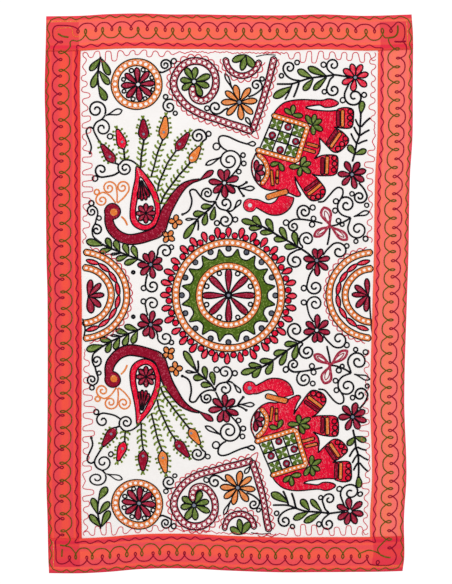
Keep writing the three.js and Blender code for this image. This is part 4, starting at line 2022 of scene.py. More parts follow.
@dataclass
class Elephant:
    """The elephant on its side: a red body, a checked blanket, anklets, leaves, a cap and a curled trunk."""

    back: Places = (
        (123, 491), (133, 505), (150, 519), (173, 526), (202, 528), (250, 526), (268, 530), (283, 528),
        (296, 519),
        (290, 512), (275, 508), (260, 508), (247, 514), (228, 512), (207, 508), (220, 502), (242, 499),
        (272, 497),
        (292, 498),
    )
    feet: Sequence[Places] = (
        ((296, 502), (312, 506), (329, 505), (337, 498), (337, 479), (335, 459), (329, 452), (312, 451),
         (284, 454)),
        ((290, 450), (306, 441), (321, 426), (323, 417), (318, 407), (305, 393), (293, 387), (281, 389),
         (266, 404),
         (245, 426)),
        ((246, 412), (247, 397), (243, 382), (231, 369), (243, 373), (254, 377), (272, 379), (288, 378),
         (294, 371),
         (295, 348), (292, 331), (282, 324), (262, 323), (239, 324), (224, 328)),
        ((237, 318), (251, 301), (260, 287), (260, 274), (251, 262), (237, 256), (224, 256), (213, 266),
         (201, 283),
         (189, 302), (179, 322)),
    )
    head: Places = (
        (181, 304), (187, 286), (195, 272), (187, 267), (176, 270), (166, 275),
    )
    face: Places = (
        (128, 285), (112, 283), (94, 289), (80, 301), (68, 318), (62, 338), (63, 359), (69, 372), (75, 385),
    )
    trunk: Limb = Limb((
        (156, 268, 40), (153, 256, 42), (146, 245, 42), (132.8, 236, 38), (114.4, 233, 31), (96, 238.5, 24),
        (77.5, 247, 22), (66, 246, 26),
    ))
    trunk_tip: tuple[float, float, float] = (58.0, 243.0, 17.5)
    cap: Places = ((80, 380), (95.5, 365), (105, 343), (104, 322), (90, 300))
    blanket: Places = ((75, 386), (189, 354), (222, 462), (123, 491))
    # Each green cluster's place right and up, and each leaf's direction and length
    clusters: Sequence[tuple[float, float, Places]] = (
        (172, 487, ((142, 25), (82, 27), (-5, 28))),
        (226, 460, ((123, 31), (76, 29), (30, 27), (-28, 31), (-82, 27))),
        (195, 348, ((66, 28), (20, 28), (-34, 31), (-100, 26), (182, 31))),
        (137, 358, ((195, 24), (-64, 25))),
    )
    # Each bar's two ends and width
    bars: Sequence[Bar] = (
        (Yarn.CRIMSON, (296, 496), (296, 457), 9), (Yarn.ORANGE, (308, 499), (308, 455), 9),
        (Yarn.CRIMSON, (291, 445), (267, 410), 9), (Yarn.ORANGE, (302, 438), (276, 400), 9),
        (Yarn.CRIMSON, (254, 370), (252, 328), 9), (Yarn.ORANGE, (267, 374), (264, 328), 9),
        (Yarn.CRIMSON, (241, 310), (207, 285), 9), (Yarn.ORANGE, (250, 300), (215, 272), 9),
        (Yarn.ORANGE, (212, 409), (242, 401), 8), (Yarn.ORANGE, (203, 395), (234, 386), 8),
        (Yarn.ORANGE, (116, 337), (119, 296), 7), (Yarn.ORANGE, (133, 337), (131, 301), 7),
    )
    tusk: Bar = (Yarn.ORANGE, (103, 264), (158, 281), 14)
    toes: Places = (
        (329, 496), (328, 479), (329, 463), (315, 423), (306, 408), (295, 396), (285, 371), (286, 355),
        (284, 338),
        (254, 279), (242, 267), (228, 263),
    )

    def work(self, piece: Embroidery) -> None:
        """Work it on a piece.

        Args:
            piece: The piece that it is worked on.
        """
        edge = np.concatenate([curve(self.back), *(curve(foot) for foot in self.feet), curve(self.head),
                               curve(self.face)])
        body = np.concatenate([edge, np.array(self.blanket[:3])])
        cap = curve(self.cap)
        brow = curve([(82, 303), (70, 320), (65, 338), (66, 358), (73, 377)])
        forehead = np.concatenate([offset(cap, 3.0), brow])
        piece.rows(hatch([body, forehead], 78.0, 2.4, piece.rng), Yarn.RED)
        piece.row(edge, Yarn.BLACK, EDGING)
        self.trunk_work(piece)
        self.blanket_work(piece)
        for bar in self.bars:
            self.bar(piece, bar)
        for toe in self.toes:
            piece.edge(ring(toe, 6.8, 2.0), EDGING_ON_FILLING)
        for right, up, leaves in self.clusters:
            for turn, length in leaves:
                piece.petal(Petal((right, up), turn, length, 12.5, 0.62, 0.6), Yarn.LEAF, ON_FILLING,
                            EDGING_ON_FILLING)
        piece.disc((130.0, 316.0), 5.0, Yarn.BLACK, edge=None, fill=Work(3.4, 2.0, base=0.6))
        for turn, length in ((85, 32), (47, 26), (-7, 23), (-68, 25)):
            piece.petal(Petal((73.4, 332), turn, length, 12.5, 0.62, 0.62), Yarn.CRIMSON)
        piece.eyed_band(cap, 9.5, Yarn.ORANGE, 10.0)

    def trunk_work(self, piece: Embroidery) -> None:
        """Work the trunk, its curled tip and the tusk, each over what lies behind it.

        Args:
            piece: The piece that it is worked on.
        """
        x, y, radius = self.trunk_tip
        over = Work(3.2, 1.35, base=0.45)
        piece.rows(self.trunk.crosswise(2.2), Yarn.RED, over)
        piece.disc((x, y), radius, Yarn.RED, edge=None, fill=over)
        trunk, tip = self.trunk.outline(), ring((x, y), radius)
        piece.edge_outside(trunk, ring((x, y), radius - 0.5), EDGING_ON_FILLING)
        piece.edge_outside(tip, offset(trunk, -0.5, closed=True), EDGING_ON_FILLING)
        piece.mirror((x, y), 11.0, Yarn.RED)
        self.bar(piece, self.tusk, lift=0.6)

    def bar(self, piece: Embroidery, bar: Bar, lift: float = 0.0) -> None:
        """Work a bar over the red: a few rows beside each other, and a black line round them.

        Args:
            piece: The embroidery.
            bar: The bar's thread, the middles of its two ends and its width.
            lift: How much higher it lies than other bars.
        """
        yarn, start, end, width = bar
        start, end = np.array(start, float), np.array(end, float)
        ahead = (end - start) / np.linalg.norm(end - start)
        side = leftward(ahead)
        fill = Work(3.4, 1.45 + lift, base=0.55 + lift)
        count = max(2, round((width - 2) / 2.5))
        for place in np.linspace(-1, 1, count) * (width / 2 - 2.0):
            piece.row([start + side * place, end + side * place], yarn, fill)
        half = width / 2
        turn = math.degrees(math.atan2(ahead[1], ahead[0]))
        bend = half * 0.6
        ends = [arc(spot, half, base + 90, base + 270, 1.5) for spot, base in
                ((start + ahead * bend, turn), (end - ahead * bend, turn + 180))]
        around = Work(3.5, 1.9 + lift, base=0.6 + lift)
        piece.edge(curve(np.concatenate(ends), closed=True, step=2.0), around)

    def blanket_work(self, piece: Embroidery) -> None:
        """Work the blanket: its eyed band on three sides, its grid, green crosses and crimson rounds.

        Args:
            piece: The piece that it is worked on.
        """
        low_left, low_right, high_right, high_left = (np.array(p, float) for p in self.blanket)
        middle = (low_left + low_right + high_right + high_left) / 4
        corners = [p + (middle - p) * 0.115 for p in (low_left, low_right, high_right, high_left)]
        corners[0] = corners[0] + (low_left - low_right) * 0.06
        corners[3] = corners[3] + (high_left - high_right) * 0.06
        path = [corners[0]]
        for corner, after in ((1, 2), (2, 3)):
            before = corners[corner] + (corners[corner - 1] - corners[corner]) * 0.05
            beyond = corners[corner] + (corners[after] - corners[corner]) * 0.05
            path += [*np.linspace(path[-1], before, 12)[1:], beyond]
        path += list(np.linspace(path[-1], corners[3], 12)[1:])
        piece.eyed_band(np.array(path), 11.0, Yarn.ORANGE, 11.8)
        inner = [np.array(p, float) for p in ((85, 399), (182, 371), (207, 452), (120, 480))]
        for share in (0.0, 1 / 3, 2 / 3):
            upright = [checked(inner, share, t) for t in np.linspace(-0.03, 1.03, 14)]
            piece.row(upright, Yarn.BLACK, EDGING)
        for share in (1 / 3, 2 / 3):
            level = [checked(inner, t, share) for t in np.linspace(0, 1.03, 14)]
            piece.row(level, Yarn.BLACK, EDGING)
        for i, j in itertools.product(range(3), range(3)):
            if (i + j) % 2 == 0:
                spot = checked(inner, (i + 0.5) / 3, (j + 0.5) / 3)
                for turn in (26, 118, 206, 298):
                    toward = turn + piece.rng.uniform(-7, 7)
                    arm = Petal(spot, toward, 18.0, 11.5, 0.62, 0.6)
                    piece.rows(arm.rows(2.3, 0.9), Yarn.LEAF, Work(3.6, 1.2))
        for spot in ((161, 454), (118, 432), (181, 415), (139, 393)):
            piece.mirror(spot, 7.0, Yarn.CRIMSON, rounds=2)
            piece.edge(ring(spot, 9.2, 1.8), THIN)


def checked(corners: Sequence[Points], right: float, up: float) -> Points:
    """A place on a four-cornered field, from 0 to 1 right and up.

    Args:
        corners: The field's corners: low left, low right, high right and high left.
        right: The share to the right.
        up: The share up.

    Returns:
        The place.
    """
    low = corners[0] * (1 - right) + corners[1] * right
    high = corners[3] * (1 - right) + corners[2] * right
    return low * (1 - up) + high * up


@dataclass(frozen=True)
class Bloom:
    """A loose flower: its middle, thread, petals' width and mirror, and each petal's direction and reach."""

    centre: Place
    yarn: Yarn
    width: float
    petals: Places
    mirror: float = 8.0
    lower_yarn: Yarn | None = None


BLOOMS = (
    Bloom((-11, 303), Yarn.CRIMSON, 16,
          ((111, 38), (76, 37), (22, 40), (-43.5, 38), (-87, 39), (-139, 38.5), (173, 41.6))),
    Bloom((342, 588), Yarn.RED, 15.5, ((105, 37), (63, 38), (16, 36), (-38, 38), (-101, 36), (-156, 38),
                                       (145, 38)),
          lower_yarn=Yarn.CRIMSON),
    Bloom((333, 326), Yarn.CRIMSON, 15, ((116, 38), (61, 37), (17, 38), (-28, 36), (-77, 38), (-132, 38),
                                         (178, 37)),
          9.0),
    Bloom((238, 94), Yarn.CRIMSON, 15, ((102, 32), (67, 33), (12, 35), (-40, 38), (-88, 41), (-142, 35),
                                        (170, 35))),
    Bloom((-210, 83), Yarn.CRIMSON, 15.5,
          ((83, 36.5), (28, 33), (-20, 33), (-79, 37), (-133, 37), (182, 34), (122, 34))),
)


@dataclass
class Blossoms:
    """The loose flowers and small blossoms of one half of the field."""

    tulip: Place = (274.5, 187.0)

    def work(self, piece: Embroidery) -> None:
        """Work them on a piece.

        Args:
            piece: The piece that they are worked on.
        """
        for bloom in BLOOMS:
            yarn = bloom.lower_yarn if piece.lower and bloom.lower_yarn else bloom.yarn
            piece.flower(bloom.centre, bloom.petals, yarn, bloom.width, bloom.mirror)
        for centre, turn in (((-143, 199), 82), ((-162, 159), 55)):
            for i in range(4):
                piece.petal(Petal(centre, turn + 90 * i, 18, 12.0, 0.6, 0.6), Yarn.ORANGE)
            piece.knot(centre, 2.6)
        for turn, length, width in ((109, 54, 30), (212, 52, 21), (-39, 60, 24)):
            shape = Petal(self.tulip, turn, length, width, 0.66, 0.75)
            piece.row(shape.outline(), Yarn.CHERRY, Work(3.8, 1.4), closed=True)
            piece.row(shape.outline(-3.3), Yarn.CHERRY, Work(4.8, 1.3), closed=True, shade=0.75)
            inner = Petal(self.tulip, turn, length * 0.8, width * 0.36, 0.66, 0.75)
            piece.row(inner.outline(), Yarn.CRIMSON, Work(3.2, 1.4), closed=True)
        piece.row(curve([(274, 183), (271, 160), (266, 136)]), Yarn.BLACK, STEM)


TWIGS = (
    # On the left, hanging from the border
    Twig(((-345, 645), (-351, 614), (-353, 588), (-351, 565)),
         ((-345, 640, 229, 43, 16), (-343, 638, -64, 47, 17), (-353, 604, -109, 45, 17),
          (-348, 604, -54, 42, 16),
          (-351, 565, -61, 43, 19))),
    # On the left, below the peacock
    Twig(((-342, 140), (-329, 132), (-311, 124), (-290, 115), (-267, 106), (-246, 98), (-225.5, 89)),
         ((-340.5, 136, 166, 42.6, 19), (-316, 128, 117, 29, 15.5), (-294, 118, 114, 31, 16),
          (-269, 109, 114, 32, 15.5), (-246, 100, 112, 35, 15.5), (-316, 125, 192, 30, 14),
          (-272, 106, 196, 32, 14),
          (-246, 97, 199, 35.5, 15)),
         drops=((-287.5, 114, 187, 31, 5),)),
    # In the middle, above the medallion
    Twig(((-37, 251), (-47, 237), (-62, 223), (-82.5, 207), (-96, 190)),
         ((-87, 201, 235, 57, 17), (-45, 241, 186, 27.7, 15), (-65, 222, 186, 29, 16),
          (-38, 238, 259, 35, 14.5),
          (-59, 222, 258, 32.5, 15)),
         rods=((-82.5, 205, -90, 30),), drops=((-87, 206.6, 183, 29, 6),)),
    # On the right, below the elephant
    Twig(((80, 191), (96, 183), (114, 173), (133, 162), (154, 150), (175, 138), (196, 125), (214, 113),
          (230, 100)),
         ((77.5, 191, 164, 42.5, 16), (89, 186, 130, 34.6, 17), (88, 182, 182, 31.6, 13),
          (120, 172.6, 116, 36, 18),
          (120, 169, 178, 34, 13), (158, 150, 117.5, 37, 16), (154, 148, 170, 31, 14.5),
          (185.5, 133, 104, 38, 16),
          (184, 129, 175, 32, 14.5))),
    # On the right, beside the elephant
    Twig(((357, 497), (357, 479), (355, 455), (353.5, 431), (346, 410), (340, 384), (334, 360)),
         ((357, 489, 84, 34, 16), (341, 381, 126, 29, 16), (341, 381, 20, 31, 15)),
         rods=((355, 452, 118, 27), (358, 454, 45, 35), (353, 430, 121, 29), (355, 431, 31, 31),
               (346, 410, 120, 32),
               (349, 409, 21, 28))),
    # On the right, above the elephant
    Twig(((130, 570), (159, 570), (175, 572), (191, 578), (214, 585), (241, 589), (267, 592), (286, 594.5),
          (307, 592), (330, 589)),
         ((225, 588, 152, 42, 17), (262, 592, 153, 52, 17), (228, 583, 229, 38, 16),
          (263, 588, 225, 46.6, 14),
          (170, 563, 211, 55.6, 20)),
         rods=((172, 571, 245, 47), (191, 576, 249, 45))),
)


@dataclass
class Sprays:
    """The leafy twigs of one half of the field."""

    def work(self, piece: Embroidery) -> None:
        """Work them on a piece."""
        for twig in TWIGS:
            piece.twig(twig)


CURLS = (
    # On the left
    Curl((-171, 622.5), 17, -35, 1.4, [(-187, 605), (-179, 602)], [(-148, 632, 7)]),
    Curl((-160, 509.5), 21, 57, 1.34, (), [(-170, 536, 6.5), (-144, 492, 6)]),
    Curl((-357, 500.5), 27, -30, 1.28),
    Curl((-340.5, 451), 23, 93, -1.0, (), [(-320, 429, 7)]),
    Curl((-343, 338), 21, -65, -1.0, [(-295, 333), (-311, 324)], [(-360, 315, 7)]),
    Curl((-278.5, 343), 20, 152, 1.25),
    Curl((-82, 429), 22, -16, 1.35, [(-77, 404), (-69, 416.5)], [(-54, 436, 7)]),
    Curl((-369, 227), 15, 86, 1.1, (), [(-370, 249, 6.5), (-349.5, 209, 5.7)]),
    Curl((-356, 176), 16, 106, -1.0),
    Curl((-170, 118), 22, 196, -1.1, [(-196, 100)], [(-154, 130, 6.5)]),
    Curl((-205, 26), 21, 150, 1.14, [(-218, 58), (-222, 45)], [(-229, 19.5, 7)]),
    # In the middle
    Curl((1.8, 363.6), 31, 0, 1.5, [(0.4, 314), (19.7, 336), (29.3, 350)],
         [(39, 378, 6.2), (41, 356, 6.2), (28, 334, 6.2), (-32.6, 402, 9)]),
    Curl((-57.4, 275), 16.5, 205, -1.3),
    Curl((-8.8, 202.5), 21, 52, -1.2, [(-5, 229)], [(18, 204, 6.9), (-31.5, 195.6, 6.9)]),
    Curl((-8.8, 248), 18, -75, 0.9),
    # On the right, up to the elephant
    Curl((318.5, 244), 23, 131, -1.0, (), [(289.5, 254, 6.6), (288, 229, 6.6)]),
    Curl((349, 178), 29, 143, 1.27, [(330, 209.5)], [(343.5, 146, 5.8), (370, 153, 6.5)]),
    Curl((354, 266), 20, 8, -1.25, [(351, 304), (366, 287)], [(333, 274, 5.8), (372.5, 243, 5.5)]),
    Curl((204, 225), 22, 239, -1.35, (), [(227, 237, 6.6), (229, 207, 6.6), (225, 191, 7)]),
    Curl((176, 186), 17, 94, 1.25, (), [(155, 196, 7)]),
    Curl((212, 151.6), 23, 240, -1.36, [(196, 125)]),
    Curl((180, 93.6), 24, 102, 1.22, [(196, 125), (184, 122)]),
    Curl((297.4, 118.6), 26, 150, -1.06, [(255, 108), (264.5, 121)], [(318.5, 133.6, 6.6)]),
    Curl((233.4, 22.5), 23, 155, 1.24, [(229, 72.5), (218, 54)], [(203.4, 19.3, 7)]),
    # On the right, above the elephant
    Curl((164.4, 614), 19, 228, -1.13, [(196, 578), (175, 582), (160, 590.5)],
         [(184.7, 628.7, 6), (142.5, 593, 6)]),
    Curl((283, 622), 20, 240, -1.1, [(286, 594.5)], [(256.6, 622.7, 7)]),
    Curl((283, 555), 20, 139, 1.06, [(284, 592), (273.7, 582.6)], [(258.7, 549.7, 6)]),
    Curl((339.6, 536.5), 29, 142, 1.16, [(326.4, 574.7)], [(308.5, 526.5, 7), (366, 541, 6.6)]),
)

# Bare black stems, and whether a round knot ends each
STEMS = (
    (((-332.7, 486), (-342, 475), (-357, 466), (-364, 449), (-355, 428), (-343, 407.5)), False),
    (((-364, 449), (-373, 453.5), (-382, 448), (-383, 437), (-375, 418), (-370, 401), (-374, 384)), True),
    (((-367.6, 243.5), (-356, 235), (-352.6, 222), (-357, 207), (-360, 194), (-364, 187), (-367.6, 176),
      (-365, 160), (-355, 150), (-342, 140)), False),
    (((-5, 391), (-15, 397), (-23, 406), (-26.4, 417), (-24.4, 427), (-14.7, 431), (0.4, 428), (17, 420),
      (33.5, 412.6), (48.6, 407.7)), False),
    (((-19, 285), (-25, 275.5), (-34, 256)), False),
    (((-34, 254), (-40, 253), (-52, 253), (-65, 258), (-74, 265), (-82.5, 275.5), (-89, 284), (-98, 286.5),
      (-104.6, 282), (-104, 274), (-100, 260), (-100, 245), (-105, 230), (-114, 222), (-124, 218)), True),
    (((-34, 254), (-33, 245), (-23, 234), (-5, 229), (4, 227), (12.5, 231)), False),
    (((2, 300), (14, 296), (25, 293), (30.7, 289)), False),
    (((25, 293), (36, 297), (48.6, 305)), True),
    (((25, 293), (32, 281), (40.8, 268.6)), True),
    (((241, 252), (257, 254), (270, 267.5), (283, 283), (296, 291), (307, 286), (308, 273), (303, 262),
      (295, 246),
      (296, 231), (305, 219), (317, 213), (330, 209.5)), False),
    (((330, 209.5), (315, 200), (293.5, 191), (274.5, 187)), False),
    (((254, 194), (233, 199), (212, 203), (193, 205), (175, 204), (163, 196)), False),
)

# Open teardrops: the root right and up, the direction, the length and the width
DROPS = (
    (-331, 485, 19, 46.6, 15.5), (46.6, 407.5, 3, 26, 12.4), (-17.5, 375, 208, 50, 11),
    (30.7, 289, 0, 39, 12),
    (12.5, 231, 51, 33, 10), (338, 212, 18, 43, 12),
)


@dataclass
class Curls:
    """The black curls, stems, small open rings and teardrops of one half of the field."""

    def work(self, piece: Embroidery) -> None:
        """Work them on a piece.

        Args:
            piece: The piece that they are worked on.
        """
        for curl in CURLS:
            piece.curl(curl)
        for stem, knotted in STEMS:
            line = curve(stem)
            piece.row(line)
            if knotted:
                piece.knot(line[-1], 4.2)
        for right, up, toward, length, width in DROPS:
            piece.drop((right, up), toward, length, width)
        for right, up, radius in ((297, 201.6, 6.5), (306.6, 191, 5)):
            piece.loop((right, up), radius)
        piece.knot((-257, 61.6), 6.5)


# How far in from the border the winding line may reach, by place right on the ends and up on the sides
END_ROOM = (
    (-395, 18), (-370, 20), (-345, 34), (-320, 38), (-290, 26), (-250, 17), (-200, 24), (-160, 18),
    (-120, 12), (0, 10),
    (150, 10), (165, 25), (205, 36), (245, 36), (275, 25), (310, 30), (340, 32), (375, 30),
)
LEFT_ROOM = (
    (150, 10), (175, 20), (195, 27), (225, 18), (265, 30), (300, 40), (330, 32), (370, 40), (410, 14),
    (470, 35),
    (495, 15), (530, 36), (565, 20), (630, 16),
)
RIGHT_ROOM = (
    (143, 4), (155, 16), (183, 24), (225, 13), (250, 13), (282, 22), (313, 22), (345, 32), (380, 30),
    (400, 17),
    (430, 14), (455, 9), (470, 14), (495, 30), (540, 21), (570, 17), (620, 22),
)


@dataclass
class Meander:
    """The rose line that winds all round the inside of the border, but for the half medallions."""

    cloth: Cloth
    seed: int = 41
    shallow: float = 5.0
    spacing: float = 16.0

    def build(self) -> list[bpy.types.Object]:
        """Work the whole line.

        Returns:
            The stitches on the front and the threads on the back.
        """
        piece = Embroidery("embroidery_winding_line", self.cloth, self.seed, wobble=0.6, from_edges=True)
        s = self.cloth.sizes
        left, right = -s.half + s.strip - s.middle_across, s.half - s.strip - s.middle_across
        top, bottom = s.middle_down - s.strip, s.middle_down - s.height + s.strip
        ends, low, high = np.array(END_ROOM, float), np.array(LEFT_ROOM, float), np.array(RIGHT_ROOM, float)
        for start, end, inwards, room, axis in (
            ((left, top), (right, top), (0, -1), ends, 0),
            ((right, top), (right, 140), (-1, 0), high, 1),
            ((right, -140), (right, bottom), (-1, 0), high, 1),
            ((right, bottom), (left, bottom), (0, 1), ends, 0),
            ((left, bottom), (left, -135), (1, 0), low, 1),
            ((left, 135), (left, top), (1, 0), low, 1),
        ):
            line = self.fingers(piece.rng, *np.array([start, end, inwards], float), room, axis)
            piece.row(line, Yarn.ROSE, Work(2.7, 1.2))
        return piece.build()

    def fingers(self, rng: np.random.Generator, start: Points, end: Points, inwards: Points, room: Points,
                axis: int) -> Points:
        """Draw one run of the line as rounded fingers, as deep as there is room for.

        Args:
            rng: Makes each finger a little different.
            start: Where the run starts, on the border's inner edge.
            end: Where it ends.
            inwards: The direction into the field.
            room: Rows of a place and the depth there.
            axis: Which of a place's two parts the table goes by.

        Returns:
            The line's points.
        """
        length = float(np.linalg.norm(end - start))
        along = (end - start) / length
        count = round((length - 16) / self.spacing)
        marks = np.linspace(12, length - 12, count + 1) + rng.uniform(-1.8, 1.8, count + 1)
        points = []
        for i, mark in enumerate(marks):
            spot = start + along * mark
            place = spot[0] if axis == 0 else abs(spot[1])
            deep = max(float(np.interp(place, room[:, 0], room[:, 1])) * rng.uniform(0.85, 1.05), 9.0)
            depth, back = (deep, -3.0) if i % 2 else (self.shallow + rng.uniform(-1, 2), 3.0)
            wide = rng.uniform(5.6, 6.8)
            points += [spot - along * wide + inwards * (depth + back), spot + inwards * depth]
            points += [spot + along * wide + inwards * (depth + back)]
        return curve(points, step=2.0)


# The whole part


@dataclass(frozen=True)
class Strip:
    """A border strip: its name, its dye, whether it runs down a side, and whether right or at the bottom."""

    cloth: Cloth
    name: str
    dye: BorderCotton
    upright: bool
    far: bool

    def from_edge(self, across: Points, down: Points) -> Points:
        """The distance in from the edge of the cloth that it lies along.

        Args:
            across: Places across the cloth, in millimetres from its middle.
            down: Places down it, in millimetres from its top.

        Returns:
            The distances, in millimetres.
        """
        s = self.cloth.sizes
        if self.upright:
            return s.half - np.abs(across)
        return s.height - down if self.far else down

    def back(self, across: Points, down: Points) -> Points:
        """The lift of its back."""
        level = np.full_like(across, self.cloth.sizes.first_layer)
        return level if self.upright else self.cloth.over_sides(across)

    def front(self, across: Points, down: Points) -> Points:
        """The lift of its front."""
        return self.back(across, down) + self.cloth.strip_thickness(self.from_edge(across, down))

    def placed(self, across: Points, down: Points) -> Points:
        """Each place's distance from that edge, and from the side, in metres: 1 all down a side strip.

        Args:
            across: Places across the cloth, in millimetres from its middle.
            down: Places down it, in millimetres from its top.

        Returns:
            The two distances of each place.
        """
        from_side = (self.cloth.sizes.half - np.abs(across)) * MM
        beside = np.ones_like(across) if self.upright else from_side
        return np.stack([self.from_edge(across, down) * MM, beside], axis=-1)


@dataclass
class Sheets:
    """The sheets of cloth: the ground, and the four strips of the border."""

    cloth: Cloth

    def strip_places(self, low: float, high: float) -> list[float]:
        """Places across a strip: its edges, its turned hems and its middle.

        Args:
            low: Where the strip starts.
            high: Where it ends.

        Returns:
            The places, in order.
        """
        s = self.cloth.sizes
        hem, step = s.hem, s.hem + s.hem_step
        return [low, low + hem, low + step, (low + high) / 2, high - step, high - hem, high]

    def side_places(self, low: float, length: float) -> list[float]:
        """Places along a whole side: two strips, and cells between them.

        Args:
            low: Where the side starts.
            length: Its length.

        Returns:
            The places, in order.
        """
        s = self.cloth.sizes
        high = low + length
        between = length - 2 * s.strip
        cells = round(between / s.cell)
        middle = [low + s.strip + between * (i + 1) / cells for i in range(cells - 1)]
        return [*self.strip_places(low, low + s.strip), *middle, *self.strip_places(high - s.strip, high)]

    def build(self) -> list[bpy.types.Object]:
        """Cut and hang the sheets, each in place of its solid.

        Returns:
            The sheets, the ground first.
        """
        s = self.cloth.sizes
        across = self.side_places(-s.half, s.width)
        down = self.side_places(0.0, s.height)
        inner_across = [across[0] + s.inset, *across[1:-1], across[-1] - s.inset]
        inner_down = [down[0] + s.inset, *down[1:-1], down[-1] - s.inset]
        ground = SewnSheet("ground_sheet", stations(inner_across, s.fine), stations(inner_down, s.fine),
                           self.cloth.ground_back, self.cloth.ground_front).build(self.cloth, None)
        ground.data.materials.append(GroundCotton().make())
        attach(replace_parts(ground, "ground_cloth"), BODY)
        made = [ground]
        # Each dye: its body, the lighter orange of its painted highlight bands and mottle, its doubled hems
        # and its inner edge
        warm = BorderCotton("coral_cotton_lawn_warm", "FC6462", "FF6C50", "F2244A", "FF5A38")
        cool = BorderCotton("coral_cotton_lawn_deep", "EA4350", "FB5440", "DC173C", "F63F2A")
        rose = BorderCotton("coral_cotton_lawn_rosy", "FF726E", "FF7A5E", "F4355A", "FF6844")
        light = BorderCotton("coral_cotton_lawn_light", "F24E58", "FF5E48", "E62648", "FA4A32")
        for strip in (Strip(self.cloth, "left", cool, True, False),
                      Strip(self.cloth, "right", rose, True, True),
                      Strip(self.cloth, "top", warm, False, False),
                      Strip(self.cloth, "bottom", light, False, True)):
            near, length = (-s.half, s.width) if strip.upright else (0.0, s.height)
            low = near + length - s.strip if strip.far else near
            crosswise = self.strip_places(low, low + s.strip)
            columns, rows = (crosswise, down) if strip.upright else (across, crosswise)
            sheet = SewnSheet("border_strip_" + strip.name, stations(columns, s.fine), stations(rows, s.fine),
                              strip.back, strip.front).build(self.cloth, strip.placed)
            sheet.data.materials.append(strip.dye.make(s))
            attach(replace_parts(sheet, "border_" + strip.name), BODY)
            made.append(sheet)
        return made


@dataclass(frozen=True)
class Studio:
    """A plain pale floor, soft light and a camera straight in front, as in the photograph."""

    distance: float = 6.0
    photo_high_mm: float = 584 * 2.7
    look_at: Place = (-0.0078, -0.7479)

    def build(self) -> None:
        """Place the camera, the light and the floor."""
        scene = bpy.context.scene
        lens = bpy.data.cameras.new("camera")
        camera = new_object("camera", lens)
        camera.location = (self.look_at[0], -self.distance, self.look_at[1])
        camera.rotation_euler = (math.pi / 2, 0, 0)
        lens.sensor_width = 36.0
        lens.lens = lens.sensor_width * self.distance / (self.photo_high_mm * MM)
        lens.clip_end = 60.0
        scene.camera = camera
        scene.view_settings.view_transform = "Standard"
        self.light("key_light", (-2.2, -3.4, 1.6), 2.4, 62.0)
        self.light("fill_light", (2.6, -3.6, -0.4), 2.8, 34.0)
        self.light("back_light", (0.6, 3.2, 0.8), 2.6, 45.0)
        world = bpy.data.worlds.new("studio")
        scene.world = world
        world.use_nodes = True
        tree = world.node_tree
        tree.nodes.clear()
        rays = add(tree, "LightPath")
        strength = math_node(tree, "MULTIPLY_ADD", rays.outputs["Is Camera Ray"], 0.45, 0.62)
        sky = add(tree, "Background", Color=(1.0, 1.0, 1.0, 1.0), Strength=strength)
        add(tree, "OutputWorld", Surface=sky)
        self.floor()

    def light(self, name: str, place: tuple[float, float, float], size: float, watts: float) -> None:
        """Add one soft area light that faces the cloth's middle.

        Args:
            name: Its name.
            place: Where it stands, in metres.
            size: Its side, in metres.
            watts: Its power.
        """
        data = bpy.data.lights.new(name, "AREA")
        data.energy = watts
        data.size = size
        lamp = new_object(name, data)
        lamp.location = place
        aim = Vector((0.0, 0.0, self.look_at[1])) - lamp.location
        lamp.rotation_mode = "QUATERNION"
        lamp.rotation_quaternion = aim.to_track_quat("-Z", "Y")

    def floor(self) -> None:
        """Add a pale round floor well below the cloth."""
        mesh_data = bmesh.new()
        bmesh.ops.create_circle(mesh_data, cap_ends=True, segments=96, radius=2.4)
        bmesh.ops.translate(mesh_data, verts=mesh_data.verts, vec=(0.0, 0.0, -2.6))
        mesh = bpy.data.meshes.new("floor")
        mesh_data.to_mesh(mesh)
        mesh_data.free()
        floor = new_object("floor", mesh)
        material, tree, shader = new_material("pale_matt_floor_paint")
        place = add(tree, "TexCoord").outputs["Object"]
        grain = add(tree, "TexNoise", Vector=place, Scale=60.0, Detail=4.0)
        colour = ramp(tree, grain, [(0.3, "E9E7E4"), (0.7, "F1EFEC")])
        tree.links.new(colour.outputs[0], shader.inputs["Base Color"])
        shader.inputs["Roughness"].default_value = 0.8
        mesh.materials.append(material)


# Mirrors whose glass has a bright reflection painted into its colour
PAINTED_BRIGHT_REFLECTION_MIRRORS = (
    "upper_rosette", "upper_green_flower", "upper_trunk", "upper_middle_flower", "upper_feather_6",
    "lower_right_flower", "lower_corner_flower",
)


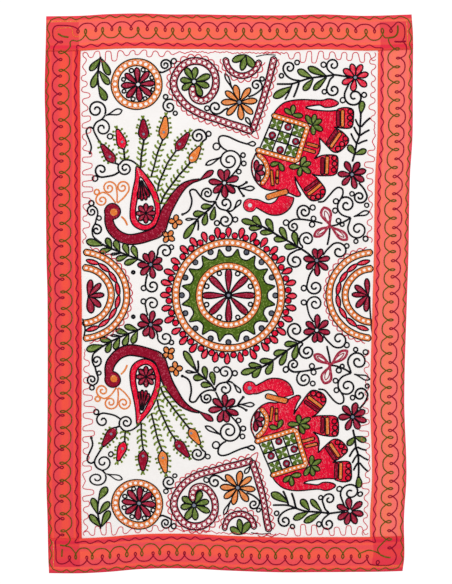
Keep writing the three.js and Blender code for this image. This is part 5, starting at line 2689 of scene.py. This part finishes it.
def dress_mirrors(nodes: dict[str, bpy.types.Object]) -> None:
    """Give every mirror its glass, with its reflection painted into its colour: dark round the medallion,
    grey in the flowers, and a few bright.

    Args:
        nodes: The frame's nodes.
    """
    # One silvered glass in three copies, each with a reflection painted into its colour: dark, grey and
    # bright
    dark = SilveredGlass("silvered_glass_painted_dark_reflection", "464C62", 0.3).make()
    grey = SilveredGlass("silvered_glass_painted_grey_reflection", "8A94AC", 0.24).make()
    bright = SilveredGlass("silvered_glass_painted_bright_reflection", "F6FAFF", 0.3).make()
    for name, node in nodes.items():
        if name.startswith("mirror_"):
            place = name.removeprefix("mirror_")
            plain = dark if "ring" in place else grey
            node.data.materials.clear()
            node.data.materials.append(bright if place in PAINTED_BRIGHT_REFLECTION_MIRRORS else plain)


def report(pieces: Sequence[bpy.types.Object]) -> None:
    """Log how many triangles each piece has, and all together.

    Args:
        pieces: The pieces.
    """
    total = 0
    for piece in pieces:
        piece.data.calc_loop_triangles()
        count = len(piece.data.loop_triangles)
        total += count
        LOG.info("%s: %d triangles", piece.name, count)
    LOG.info("all: %d triangles", total)


def main() -> None:
    """Build the part's looks round the frame."""
    logging.basicConfig(level=logging.INFO, format="%(message)s")
    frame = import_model()
    cloth = Cloth()
    Studio().build()
    for finish in YARN_FINISHES.values():
        finish.make()
    made = Sheets(cloth).build()
    worked = [
        *BorderEmbroidery(cloth).build(),
        *Medallion(cloth).build(),
        *HalfMedallion(cloth, "left", (-396.0, 0.0), 129.0, 86.0, 0.955, (-86, 86), (-377, -2.5), LEFT_FAN,
                      [((-394, -63), (-387, -90), (-390, -112)), ((-294, -76), (-308, -92))]).build(),
        *HalfMedallion(cloth, "right", (389.0, 0.0), 125.0, 81.0, 0.98, (92, 266), (375.5, 0.8), RIGHT_FAN,
                      [((380, -2), (382, -40), (385, -80), (389, -105))]).build(),
        *Meander(cloth).build(),
    ]
    motifs = {
        "rosette": Rosette(), "heart": Heart(), "peacock": Peacock(), "elephant": Elephant(),
        "blossoms": Blossoms(), "sprays": Sprays(), "curls": Curls(),
    }
    for half, seed in (("upper", 50), ("lower", 70)):
        for number, (name, motif) in enumerate(motifs.items()):
            piece = Embroidery(f"embroidery_{half}_{name}", cloth, seed + number, lower=half == "lower")
            motif.work(piece)
            worked += piece.build()
    for piece in worked:
        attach(piece, BODY)
    dress_mirrors(frame["nodes"])
    report([*made, *worked])


if __name__ == "__main__":
    main()
